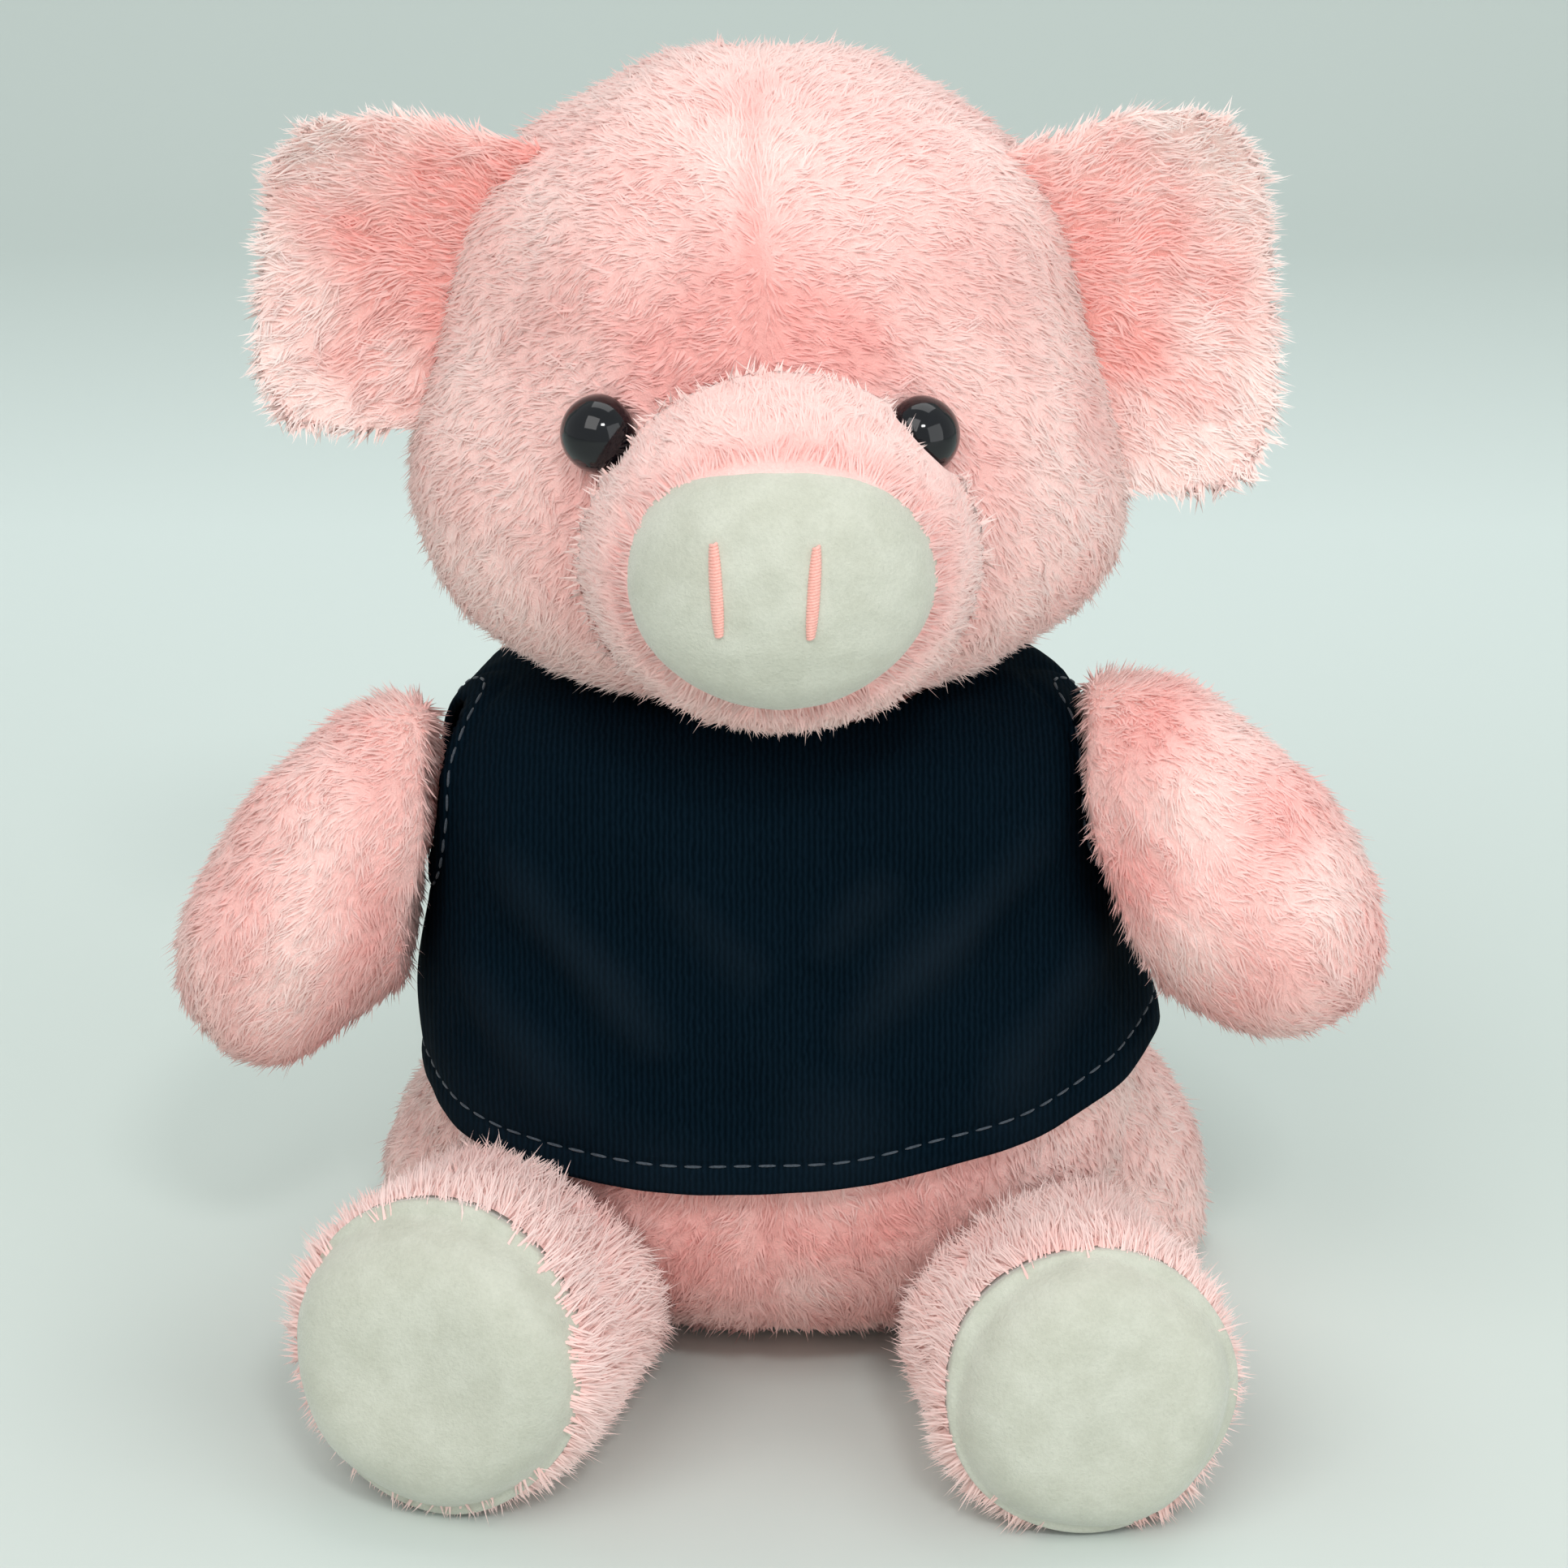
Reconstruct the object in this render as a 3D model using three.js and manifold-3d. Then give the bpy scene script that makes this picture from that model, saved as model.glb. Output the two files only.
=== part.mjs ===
// A seated plush pig in a sleeveless jersey vest, built the way it is sewn: pile skins
// filled with fibre, a pellet pouch in the seat, button eyes held by washers, a velour
// snout and foot pads, and a vest that is a garment of its own.
// Millimetres, +Z up. The toy faces -Y, and its own left side is +X.
// The origin is on the floor under the middle of the body.

import * as THREE from 'three';
import { mergeVertices } from 'three/addons/utils/BufferGeometryUtils.js';
import Module from 'manifold-3d';

const wasm = await Module();
wasm.setup();

// Cloth, thread and clearances
const touchGap = 0.3;
const sweepGap = 0.65;
const skinThickness = 1.2;
const jerseyThickness = 1;
const feltThickness = 1.2;
const threadRadius = 0.6;
const overrun = 90;
const mergeDistance = 0.0001;

// Body: two rounded masses, and a flatter one under them that it sits on
const bodyBlend = 9;
const chest = {
  side: 0, depth: -1, height: 60.5, halfWidth: 39.5, halfDepth: 31, halfHeight: 25,
  squareness: 4.6, boxiness: 2.6,
};
const belly = {
  side: 3, depth: -3, height: 34, halfWidth: 43, halfDepth: 34.5, halfHeight: 33,
  squareness: 2.6, boxiness: 2.2,
};
const seat = {
  side: 3.3, depth: 9, height: 4, halfWidth: 55, halfDepth: 22, halfHeight: 32.5,
  squareness: 3, boxiness: 2.3,
};

// Neck: a round boss that the head turns and nods on, and the thread that gathers the head
const neckDepth = -2;
const neckHeight = 74;
const neckRadius = 20;
const neckOpeningRadius = 9;
const gatherRadius = 14.5;
const gatherHeight = 91.5;

// Head: a crown over wider, lower cheeks, flat where it meets the shoulders
const headBlend = 12;
const headBase = 88.4;
const crown = {
  side: 0, depth: 1, height: 125.5, halfWidth: 37.5, halfDepth: 32.5, halfHeight: 34,
  squareness: 2.2, boxiness: 2,
};
const cheeks = {
  side: 0, depth: -2, height: 107, halfWidth: 43, halfDepth: 34.5, halfHeight: 24,
  squareness: 2.2, boxiness: 2,
};

// Muzzle, snout and nostrils
const muzzle = {
  side: 1.6, depth: -33, height: 110.4, halfWidth: 23, halfDepth: 22.5, halfHeight: 20.8,
  squareness: 2.1, boxiness: 2,
};
const muzzleTopShare = 0.84;
const snoutHeight = 111.2;
const snoutHalfWidth = 16.8;
const snoutHalfHeight = 13.9;
const nostrilLength = 11;
const nostrilRadius = 0.8;
const nostrilSpacing = 10.2;
const nostrilSide = 0;
const nostrilHeight = 112.8;

// Eyes: a domed button on a shank, locked by a washer inside the head
const eyeRadius = 4.4;
const eyeDome = 4.3;
const eyeLeftSide = 20.4;
const eyeRightSide = -22;
const eyeHeight = 124;
const shankRadius = 1.3;
const shankLength = 5.5;
const washerRadius = 3.8;
const washerThickness = 0.9;

// Ears: two cloth panels each, cupped forwards and sewn into the side of the head
const earPanelThickness = 1.3;
const earPanelGap = 0.3;
const earLean = 5;
const earLeft = {
  side: 27.5, depth: -5, height: 129.6, length: 31.6, baseHeight: 33, tipHeight: 46, cup: 9, drop: -2.2,
};
const earRight = {
  side: -27.5, depth: -5, height: 134, length: 31.3, baseHeight: 28, tipHeight: 38, cup: 8, drop: -0.8,
};

// The ear's outline and hollow, as shares of its length, height and cup
const earShares = {
  opening: 0.7, corner: 0.15, narrowing: 0.06, rootCup: 0.3, rootHollow: 0.1, hollow: 0.45,
  hollowTurn: 0.6, seam: 0.4,
};
const earCornerPower = 5;
const earRimPower = 6;

// Arms and legs: where each starts and ends, and its radius towards either end
const armRoundness = 2.2;
const armLeft = {
  rootSide: 36, rootDepth: -3, rootHeight: 82, tipSide: 68, tipDepth: -32, tipHeight: 52.5,
  rootRadius: 15, tipRadius: 16.5,
};
const armRight = {
  rootSide: -38, rootDepth: -3, rootHeight: 80.5, tipSide: -67, tipDepth: -19, tipHeight: 42,
  rootRadius: 14, tipRadius: 15.5,
};
const armPlugRadius = 8.2;
const legRoundness = 4.2;
const legLeft = {
  rootSide: 31, rootDepth: -12, rootHeight: 8, tipSide: 37.8, tipDepth: -63.5, tipHeight: 18.6,
  rootRadius: 16.5, tipRadius: 19.2, padHalfWidth: 16.8, padHalfHeight: 16.8,
};
const legRight = {
  rootSide: -25, rootDepth: -12, rootHeight: 12, tipSide: -39.5, tipDepth: -60, tipHeight: 20.6,
  rootRadius: 17.5, tipRadius: 20.5, padHalfWidth: 16.8, padHalfHeight: 18.6,
};
const hipDepth = -30;
const hipHeight = 20;

// Vest: where its cloth ends, its armholes, and how far its folds stand off the body
const hemHeight = 33.5;
const hemRise = 6.8;
const hemTilt = 3.8;
const neckHoleRadius = 20;
const vestStandOff = 0.5;
const hemFlare = 1.4;
const flareShare = 0.6;
const foldDepth = 1.7;
const foldWidth = 3.6;
const foldStart = 14;
const foldFade = 12;
const shoulderDepth = -3.5;
const shoulderHeight = 70.5;
const armholeHalfDepth = 9;
const armholeHalfHeight = 12;

// Pellet pouch and tail
const pouchRadius = 24;
const pouchHeight = 13;
const pouchEdgePower = 0.7;
const pouchDepth = 2;
const tailRadius = 1.9;
const tailCurlRadius = 4.4;
const tailPitch = 5.5;
const tailHeight = 27;
const tailTurnCount = 1.25;

// How far each joint moves either way
const armBackDegrees = 25;
const armRaiseDegrees = 45;
const legDropDegrees = 8;
const legRaiseDegrees = 14;
const earFlopDegrees = 12;
const tailFlopDegrees = 15;

// Folds down the front of the vest, from a start to an end, as shares of its half-width and of the
// height from hem to shoulder: [side, height, side, height, depth]
const foldShares = [
  [-0.8, 0.88, -0.22, 0.3, 1],
  [-0.95, 0.62, -0.45, 0.08, 0.8],
  [0.8, 0.88, 0.16, 0.36, 1],
  [0.95, 0.6, 0.5, 0.05, 0.8],
  [-0.32, 0.84, 0.02, 0.5, 0.55],
  [0.36, 0.82, 0.1, 0.55, 0.55],
];

const degrees = Math.PI / 180;

// Solids in and out of the boolean library

function bareGeometry(geometry) {
  const bare = geometry.clone();
  bare.deleteAttribute('normal');
  bare.deleteAttribute('uv');
  return mergeVertices(bare, mergeDistance);
}

function solidOf(geometry) {
  const merged = bareGeometry(geometry);
  const vertProperties = Float32Array.from(merged.attributes.position.array);
  const triVerts = Uint32Array.from(merged.index.array);
  return new wasm.Manifold(new wasm.Mesh({ numProp: 3, vertProperties, triVerts }));
}

function geometryOf(solid) {
  const mesh = solid.getMesh();
  const geometry = new THREE.BufferGeometry();
  geometry.setAttribute('position', new THREE.BufferAttribute(Float32Array.from(mesh.vertProperties), 3));
  geometry.setIndex(new THREE.BufferAttribute(Uint32Array.from(mesh.triVerts), 1));
  return geometry;
}

function turned(geometry, pivot, axis, angle) {
  const toOrigin = new THREE.Matrix4().makeTranslation(-pivot.x, -pivot.y, -pivot.z);
  const back = new THREE.Matrix4().makeTranslation(pivot.x, pivot.y, pivot.z);
  const turn = new THREE.Matrix4().makeRotationAxis(axis, angle);
  return geometry.clone().applyMatrix4(back.multiply(turn).multiply(toOrigin));
}

// What stays of a solid when an obstacle passes it at each of the given angles
function clearOf(solid, obstacle, pivot, axis, angles) {
  return angles.reduce((kept, angle) => kept.subtract(solidOf(turned(obstacle, pivot, axis, -angle))), solid);
}

function anglesBetween(low, high, count) {
  return Array.from({ length: count }, (_, i) => (low + (high - low) * i / (count - 1)) * degrees);
}

// Rounded masses as signed fields, joined smoothly

function lobeDistance(lobe, point) {
  const n = lobe.squareness;
  const m = lobe.boxiness;
  const x = Math.abs(point.x - lobe.side) / lobe.halfWidth;
  const y = Math.abs(point.y - lobe.depth) / lobe.halfDepth;
  const z = Math.abs(point.z - lobe.height) / lobe.halfHeight;
  const plan = (x ** m + y ** m) ** (1 / m);
  const size = (plan ** n + z ** n) ** (1 / n);
  const around = Math.hypot(x ** (m - 1) / lobe.halfWidth, y ** (m - 1) / lobe.halfDepth);
  const planSlope = plan === 0 ? 0 : plan ** (n - m) * around;
  const slope = Math.hypot(planSlope, z ** (n - 1) / lobe.halfHeight) / size ** (n - 1);
  return (size - 1) / slope;
}

function smoothUnion(a, b, blend) {
  const overlap = Math.max(blend - Math.abs(a - b), 0) / blend;
  return Math.min(a, b) - overlap * overlap * blend / 4;
}

function bodyField(point) {
  const upper = smoothUnion(lobeDistance(chest, point), lobeDistance(belly, point), bodyBlend);
  return smoothUnion(upper, lobeDistance(seat, point), bodyBlend);
}

function headField(point) {
  return smoothUnion(lobeDistance(crown, point), lobeDistance(cheeks, point), headBlend);
}

// The muzzle narrows upwards, between the eyes
function muzzleField(point) {
  const rise = THREE.MathUtils.clamp((point.z - muzzle.height) / muzzle.halfHeight, 0, 1);
  const halfWidth = muzzle.halfWidth * (1 - (1 - muzzleTopShare) * rise);
  return lobeDistance({ ...muzzle, halfWidth }, point);
}

// The distance from a centre, along a direction, to the outermost point at a level
function reachTo(field, centre, direction, level) {
  const stepCount = 60;
  const halvingCount = 30;
  const step = overrun / stepCount;
  let outside = overrun;
  const point = new THREE.Vector3();
  const valueAt = (r) => field(point.copy(direction).multiplyScalar(r).add(centre)) - level(point);
  while (outside > step && valueAt(outside - step) > 0) outside -= step;
  let inside = outside - step;
  for (let i = 0; i < halvingCount; i += 1) {
    const middle = (inside + outside) / 2;
    if (valueAt(middle) > 0) outside = middle;
    else inside = middle;
  }
  return inside;
}

// A closed skin pushed out along rays from a centre until the field reaches the level
function rayForm(field, centre, detail, level) {
  const levelAt = typeof level === 'function' ? level : () => level;
  const geometry = bareGeometry(new THREE.IcosahedronGeometry(1, detail));
  const position = geometry.attributes.position;
  const direction = new THREE.Vector3();
  for (let i = 0; i < position.count; i += 1) {
    direction.fromBufferAttribute(position, i).normalize();
    direction.multiplyScalar(reachTo(field, centre, direction, levelAt)).add(centre);
    position.setXYZ(i, direction.x, direction.y, direction.z);
  }
  return geometry;
}

// The outward normal of a field at a point
function normalAt(field, point) {
  const here = field(point);
  const slope = (x, y, z) => field(new THREE.Vector3(x, y, z).multiplyScalar(touchGap).add(point)) - here;
  return new THREE.Vector3(slope(1, 0, 0), slope(0, 1, 0), slope(0, 0, 1)).normalize();
}

// Cutters

const xAxis = new THREE.Vector3(1, 0, 0);
const yAxis = new THREE.Vector3(0, 1, 0);
const zAxis = new THREE.Vector3(0, 0, 1);

function below(height) {
  const block = new THREE.BoxGeometry(2 * overrun, 2 * overrun, overrun);
  return solidOf(block.translate(0, 0, height - overrun / 2));
}

function rodAlong(axis, centre, radius, length, sideCount) {
  const rod = new THREE.CylinderGeometry(radius, radius, length, sideCount);
  const aim = new THREE.Quaternion().setFromUnitVectors(yAxis, axis);
  return solidOf(rod.applyQuaternion(aim).translate(centre.x, centre.y, centre.z));
}

// Body
const bodyCentre = new THREE.Vector3(belly.side, belly.depth, (chest.height + belly.height) / 2);
const neck = new THREE.Vector3(0, neckDepth, neckHeight);

function neckBall(growth) {
  const ball = new THREE.SphereGeometry(neckRadius + growth, 20, 12).rotateX(Math.PI / 2);
  return solidOf(ball.translate(neck.x, neck.y, neck.z));
}

function bodySolid(detail, inset) {
  const form = solidOf(rayForm(bodyField, bodyCentre, detail, -inset));
  return form.add(neckBall(-inset)).subtract(below(inset));
}

function bodySkin() {
  const openingCentre = new THREE.Vector3(neck.x, neck.y, neck.z + neckRadius);
  const opening = rodAlong(zAxis, openingCentre, neckOpeningRadius, neckRadius, 16);
  return bodySolid(6, 0).subtract(bodySolid(5, skinThickness)).subtract(opening);
}

function pouchSolid(growth) {
  const ringCount = 8;
  const radius = pouchRadius + growth;
  const halfHeight = pouchHeight / 2 + growth;
  const profile = [];
  for (let i = 0; i <= ringCount; i += 1) {
    const angle = (i / ringCount - 0.5) * Math.PI;
    const around = Math.max(Math.cos(angle), 0) ** pouchEdgePower;
    profile.push(new THREE.Vector2(radius * around, halfHeight * Math.sin(angle)));
  }
  profile[0].x = 0;
  profile[ringCount].x = 0;
  const form = new THREE.LatheGeometry(profile, 16).rotateX(Math.PI / 2);
  return solidOf(form.translate(0, pouchDepth, skinThickness + touchGap + pouchHeight / 2));
}

// The pouch lies in a pocket of the stuffing that is open towards the floor
function bodyStuffing() {
  const pocketMiddle = new THREE.Vector3(0, pouchDepth, skinThickness + touchGap);
  const pocket = rodAlong(zAxis, pocketMiddle, pouchRadius, pouchHeight, 16);
  return bodySolid(5, skinThickness + sweepGap).subtract(pouchSolid(touchGap)).subtract(pocket);
}

// How far the hem of the vest stands off, fading to nothing under the arms
function flareAt(point) {
  const reach = (shoulderHeight - hemHeight) * flareShare;
  return hemFlare * THREE.MathUtils.clamp(1 - (point.z - hemHeight) / reach, 0, 1);
}

// What a moving piece must pass: the bare body, the vest on it, and the head
const bodyWall = rayForm(bodyField, bodyCentre, 6, sweepGap);
function vestWallAt(growth) {
  const stand = vestStandOff + jerseyThickness + sweepGap + growth;
  return rayForm(bodyField, bodyCentre, 6, (point) => stand + flareAt(point));
}

const vestWall = vestWallAt(0);
const liningWall = vestWallAt(skinThickness);
const fillingWall = vestWallAt(skinThickness + touchGap);

// Head
const headCentre = new THREE.Vector3(0, cheeks.depth, (crown.height + cheeks.height) / 2);
const headWall = rayForm(headField, headCentre, 4, sweepGap);
const headWallSolid = solidOf(headWall);

function headSolid(detail, inset) {
  return solidOf(rayForm(headField, headCentre, detail, -inset)).subtract(below(headBase + inset));
}

function gatherRing() {
  const ring = new THREE.TorusGeometry(gatherRadius, threadRadius, 5, 20);
  return solidOf(ring.translate(neck.x, neck.y, gatherHeight));
}

// Eyes and the washers that lock them
function eyePlace(side) {
  const towards = new THREE.Vector3(side, cheeks.depth - cheeks.halfDepth, eyeHeight);
  const direction = towards.sub(headCentre).normalize();
  const surface = reachTo(headField, headCentre, direction, () => 0);
  const point = direction.clone().multiplyScalar(surface).add(headCentre);
  return { point, normal: normalAt(headField, point) };
}

function placeAt(place, distance) {
  return place.normal.clone().multiplyScalar(distance).add(place.point);
}

function domeSolid(place, growth) {
  const ringCount = 5;
  const back = -eyeDome / 2;
  const profile = [new THREE.Vector2(0, back), new THREE.Vector2(eyeRadius + growth, back)];
  for (let i = 0; i < ringCount; i += 1) {
    const angle = i / ringCount * Math.PI / 2;
    const around = (eyeRadius + growth) * Math.cos(angle);
    profile.push(new THREE.Vector2(around, (eyeDome + growth) * Math.sin(angle)));
  }
  profile.push(new THREE.Vector2(0, eyeDome + growth));
  const aim = new THREE.Quaternion().setFromUnitVectors(yAxis, place.normal);
  const form = new THREE.LatheGeometry(profile, 16).applyQuaternion(aim);
  return solidOf(form.translate(place.point.x, place.point.y, place.point.z));
}

function eyeSolid(place) {
  const middle = placeAt(place, eyeDome / 4 - shankLength / 2);
  const shank = rodAlong(place.normal, middle, shankRadius, shankLength, 8);
  return domeSolid(place, 0).subtract(headWallSolid).add(shank);
}

function washerSolid(place) {
  const middle = placeAt(place, -skinThickness - sweepGap - washerThickness / 2);
  const disc = rodAlong(place.normal, middle, washerRadius, washerThickness, 16);
  return disc.subtract(rodAlong(place.normal, middle, shankRadius + touchGap, shankLength, 8));
}

function eyePocket(place, radius) {
  const depth = shankLength + touchGap;
  return rodAlong(place.normal, placeAt(place, touchGap - depth / 2), radius, depth, 12);
}

const eyePlaces = { left: eyePlace(eyeLeftSide), right: eyePlace(eyeRightSide) };

function headSkin() {
  let skin = headSolid(6, 0).subtract(headSolid(3, skinThickness)).subtract(neckBall(touchGap));
  for (const place of Object.values(eyePlaces)) {
    skin = skin.subtract(eyePocket(place, shankRadius + touchGap));
  }
  return skin;
}

function headStuffing() {
  const grooveTop = gatherHeight + threadRadius + touchGap;
  const grooveMiddle = new THREE.Vector3(neck.x, neck.y, (headBase + grooveTop) / 2);
  const grooveRadius = gatherRadius + threadRadius + touchGap;
  const groove = rodAlong(zAxis, grooveMiddle, grooveRadius, grooveTop - headBase, 20);
  let stuffing = headSolid(3, skinThickness + sweepGap).subtract(neckBall(touchGap)).subtract(groove);
  for (const place of Object.values(eyePlaces)) {
    stuffing = stuffing.subtract(eyePocket(place, washerRadius + touchGap));
  }
  return stuffing;
}

// Muzzle, with the snout disc on its front and two stitched nostrils on the disc
const muzzleCentre = new THREE.Vector3(muzzle.side, muzzle.depth, muzzle.height);

function muzzleSolid() {
  let solid = solidOf(rayForm(muzzleField, muzzleCentre, 4, 0)).subtract(headWallSolid);
  for (const place of Object.values(eyePlaces)) solid = solid.subtract(domeSolid(place, touchGap));
  return solid;
}

function snoutDisc() {
  const outline = new THREE.Shape().absellipse(0, 0, snoutHalfWidth, snoutHalfHeight, 0, 2 * Math.PI);
  const core = new THREE.ExtrudeGeometry(outline, { depth: overrun, bevelEnabled: false, curveSegments: 10 });
  core.rotateX(Math.PI / 2).translate(muzzle.side, muzzle.depth, snoutHeight);
  const front = solidOf(rayForm(muzzleField, muzzleCentre, 4, feltThickness + touchGap));
  const back = solidOf(rayForm(muzzleField, muzzleCentre, 4, touchGap));
  return front.subtract(back).intersect(solidOf(core));
}

function nostrilThread(side) {
  const standOff = feltThickness + 2 * touchGap + nostrilRadius;
  const stepCount = 4;
  const towards = yAxis.clone().negate();
  const points = [];
  for (let i = 0; i <= stepCount; i += 1) {
    const place = nostrilSide + side * nostrilSpacing / 2;
    const height = nostrilHeight + nostrilLength * (i / stepCount - 0.5);
    const middle = new THREE.Vector3(place, muzzle.depth, height);
    const reach = reachTo(muzzleField, middle, towards, () => standOff);
    points.push(towards.clone().multiplyScalar(reach).add(middle));
  }
  const section = new THREE.Shape().absellipse(0, 0, nostrilRadius, nostrilRadius, 0, 2 * Math.PI);
  const extrudePath = new THREE.CatmullRomCurve3(points);
  const options = { extrudePath, steps: stepCount, curveSegments: 3, bevelEnabled: false };
  return solidOf(new THREE.ExtrudeGeometry(section, options));
}

// Ears: a point of the ear's middle surface at a share of its length and height
function earPoint(ear, along, up, offset) {
  const opening = Math.sin(Math.min(along / earShares.opening, 1) * Math.PI / 2);
  const spread = ear.baseHeight + (ear.tipHeight - ear.baseHeight) * opening;
  const outline = (1 - Math.abs(up) ** earCornerPower * earShares.corner) * along;
  const narrowing = 1 - earShares.narrowing * along ** earCornerPower;
  const height = up * spread / 2 * narrowing - ear.drop * along;
  const hollow = earShares.rootHollow + earShares.hollow * Math.sin(along * Math.PI * earShares.hollowTurn);
  const forward = ear.cup * (up * up * (earShares.rootCup + (1 - earShares.rootCup) * along) - hollow);
  const outward = ear.length * outline - earLean * height / ear.tipHeight;
  return new THREE.Vector3(outward, offset - forward, height);
}

function earPanel(ear, near, far) {
  const columnCount = 5;
  const rowCount = 6;
  const points = [];
  for (const isFar of [false, true]) {
    for (let i = 0; i <= columnCount; i += 1) {
      for (let j = 0; j <= rowCount; j += 1) {
        const up = 2 * j / rowCount - 1;
        const rim = Math.max(Math.abs(up), i / columnCount) ** earRimPower;
        const offset = isFar ? far + (near - far) * rim * (1 - earShares.seam) : near;
        points.push(earPoint(ear, i / columnCount, up, offset));
      }
    }
  }
  const rowStep = rowCount + 1;
  const layerStep = rowStep * (columnCount + 1);
  const faces = [];
  const quad = (a, b, c, d) => faces.push(a, b, c, a, c, d);
  for (let i = 0; i < columnCount; i += 1) {
    for (let j = 0; j < rowCount; j += 1) {
      const a = i * rowStep + j;
      quad(a, a + rowStep, a + rowStep + 1, a + 1);
      quad(layerStep + a, layerStep + a + 1, layerStep + a + rowStep + 1, layerStep + a + rowStep);
    }
    const high = i * rowStep + rowCount;
    quad(i * rowStep, layerStep + i * rowStep, layerStep + i * rowStep + rowStep, i * rowStep + rowStep);
    quad(high, high + rowStep, layerStep + high + rowStep, layerStep + high);
  }
  for (let j = 0; j < rowCount; j += 1) {
    const tip = columnCount * rowStep + j;
    quad(j, j + 1, layerStep + j + 1, layerStep + j);
    quad(tip, layerStep + tip, layerStep + tip + 1, tip + 1);
  }
  const mirrored = (far < near) !== (ear.side < 0);
  if (mirrored) {
    for (let i = 0; i < faces.length; i += 3) [faces[i + 1], faces[i + 2]] = [faces[i + 2], faces[i + 1]];
  }
  const geometry = new THREE.BufferGeometry().setFromPoints(points);
  geometry.setIndex(faces);
  geometry.scale(Math.sign(ear.side), 1, 1);
  return geometry.translate(ear.side, ear.depth, ear.height);
}

// The flop line of an ear: where its middle meets the head
function earPivot(ear) {
  const middle = new THREE.Vector3(0, ear.depth, ear.height);
  const outward = new THREE.Vector3(Math.sign(ear.side), 0, 0);
  return outward.clone().multiplyScalar(reachTo(headField, middle, outward, () => 0)).add(middle);
}

function earSolid(ear, near, far) {
  const pivot = earPivot(ear);
  const angles = anglesBetween(-earFlopDegrees, earFlopDegrees, 5);
  return clearOf(solidOf(earPanel(ear, near, far)), headWall, pivot, zAxis, angles);
}

// Limbs: a turned form from a root to a tip
function limbForm(limb, inset, sideCount, ringCount, roundness) {
  const root = new THREE.Vector3(limb.rootSide, limb.rootDepth, limb.rootHeight);
  const tip = new THREE.Vector3(limb.tipSide, limb.tipDepth, limb.tipHeight);
  const direction = tip.clone().sub(root);
  const length = direction.length();
  const profile = [];
  for (let i = 0; i <= ringCount; i += 1) {
    const angle = Math.PI * (i / ringCount - 0.5);
    const along = Math.sign(angle) * Math.abs(Math.sin(angle)) ** (2 / roundness);
    const around = Math.max(Math.cos(angle), 0) ** (2 / roundness);
    const share = (along + 1) / 2;
    const radius = limb.rootRadius + (limb.tipRadius - limb.rootRadius) * share - inset;
    profile.push(new THREE.Vector2(radius * around, length * share + inset * (1 - 2 * share)));
  }
  profile[0].x = 0;
  profile[ringCount].x = 0;
  const aim = new THREE.Quaternion().setFromUnitVectors(yAxis, direction.normalize());
  return new THREE.LatheGeometry(profile, sideCount).applyQuaternion(aim).translate(root.x, root.y, root.z);
}

function limbSolid(...shape) {
  return solidOf(limbForm(...shape));
}

// Arms swing about a line across the shoulders, on a round root that passes the armhole
function armPivot(arm) {
  return new THREE.Vector3(Math.sign(arm.rootSide) * chest.halfWidth, shoulderDepth, shoulderHeight);
}

function armParts(arm) {
  const pivot = armPivot(arm);
  const angles = anglesBetween(-armRaiseDegrees, armBackDegrees, 4);
  const plug = (inset) => rodAlong(xAxis, pivot, armPlugRadius - inset, armPlugRadius * 2, 16);
  const clear = (solid, wall) => clearOf(solid, wall, pivot, xAxis, angles);
  const shaped = (inset, sideCount, ringCount) => {
    const form = limbSolid(arm, inset, sideCount, ringCount, armRoundness);
    return clear(form, vestWall).add(clear(form.intersect(plug(inset)), bodyWall));
  };
  const inside = limbSolid(arm, skinThickness, 10, 7, armRoundness);
  const lining = clear(inside, liningWall).add(inside.intersect(plug(skinThickness)));
  const skin = shaped(0, 16, 11).subtract(lining);
  const inner = limbSolid(arm, skinThickness + sweepGap, 10, 7, armRoundness);
  const core = clear(inner.intersect(plug(skinThickness + sweepGap)), bodyWall);
  const stuffing = clear(inner, fillingWall).add(core);
  return { skin, stuffing };
}

// Legs lift about a line across the hips
function legPivot(leg) {
  return new THREE.Vector3(leg.rootSide, hipDepth, hipHeight);
}

function legParts(leg) {
  const pivot = legPivot(leg);
  const angles = anglesBetween(-legRaiseDegrees, legDropDegrees, 4);
  const clear = (solid) => clearOf(solid, bodyWall, pivot, xAxis, angles);
  const outside = clear(limbSolid(leg, 0, 18, 12, legRoundness)).subtract(below(0));
  const lining = limbSolid(leg, skinThickness, 12, 8, legRoundness).subtract(below(skinThickness));
  const filling = limbSolid(leg, skinThickness + sweepGap, 12, 8, legRoundness);
  const stuffing = clear(filling).subtract(below(skinThickness + sweepGap));
  return { skin: outside.subtract(lining), stuffing };
}

// A velour disc lying on the domed end of a foot
function padSolid(leg) {
  const root = new THREE.Vector3(leg.rootSide, leg.rootDepth, leg.rootHeight);
  const tip = new THREE.Vector3(leg.tipSide, leg.tipDepth, leg.tipHeight);
  const axis = tip.clone().sub(root).normalize();
  const across = new THREE.Vector3().crossVectors(axis, zAxis).normalize();
  const upward = new THREE.Vector3().crossVectors(across, axis);
  const outline = new THREE.CylinderGeometry(1, 1, 1, 20);
  outline.scale(leg.padHalfWidth, leg.tipRadius, leg.padHalfHeight);
  outline.applyMatrix4(new THREE.Matrix4().makeBasis(across, axis, upward).setPosition(tip));
  const outer = limbSolid(leg, -touchGap - feltThickness, 18, 12, legRoundness);
  const inner = limbSolid(leg, -touchGap, 18, 12, legRoundness);
  return outer.subtract(inner).intersect(solidOf(outline)).subtract(below(0));
}

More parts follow.
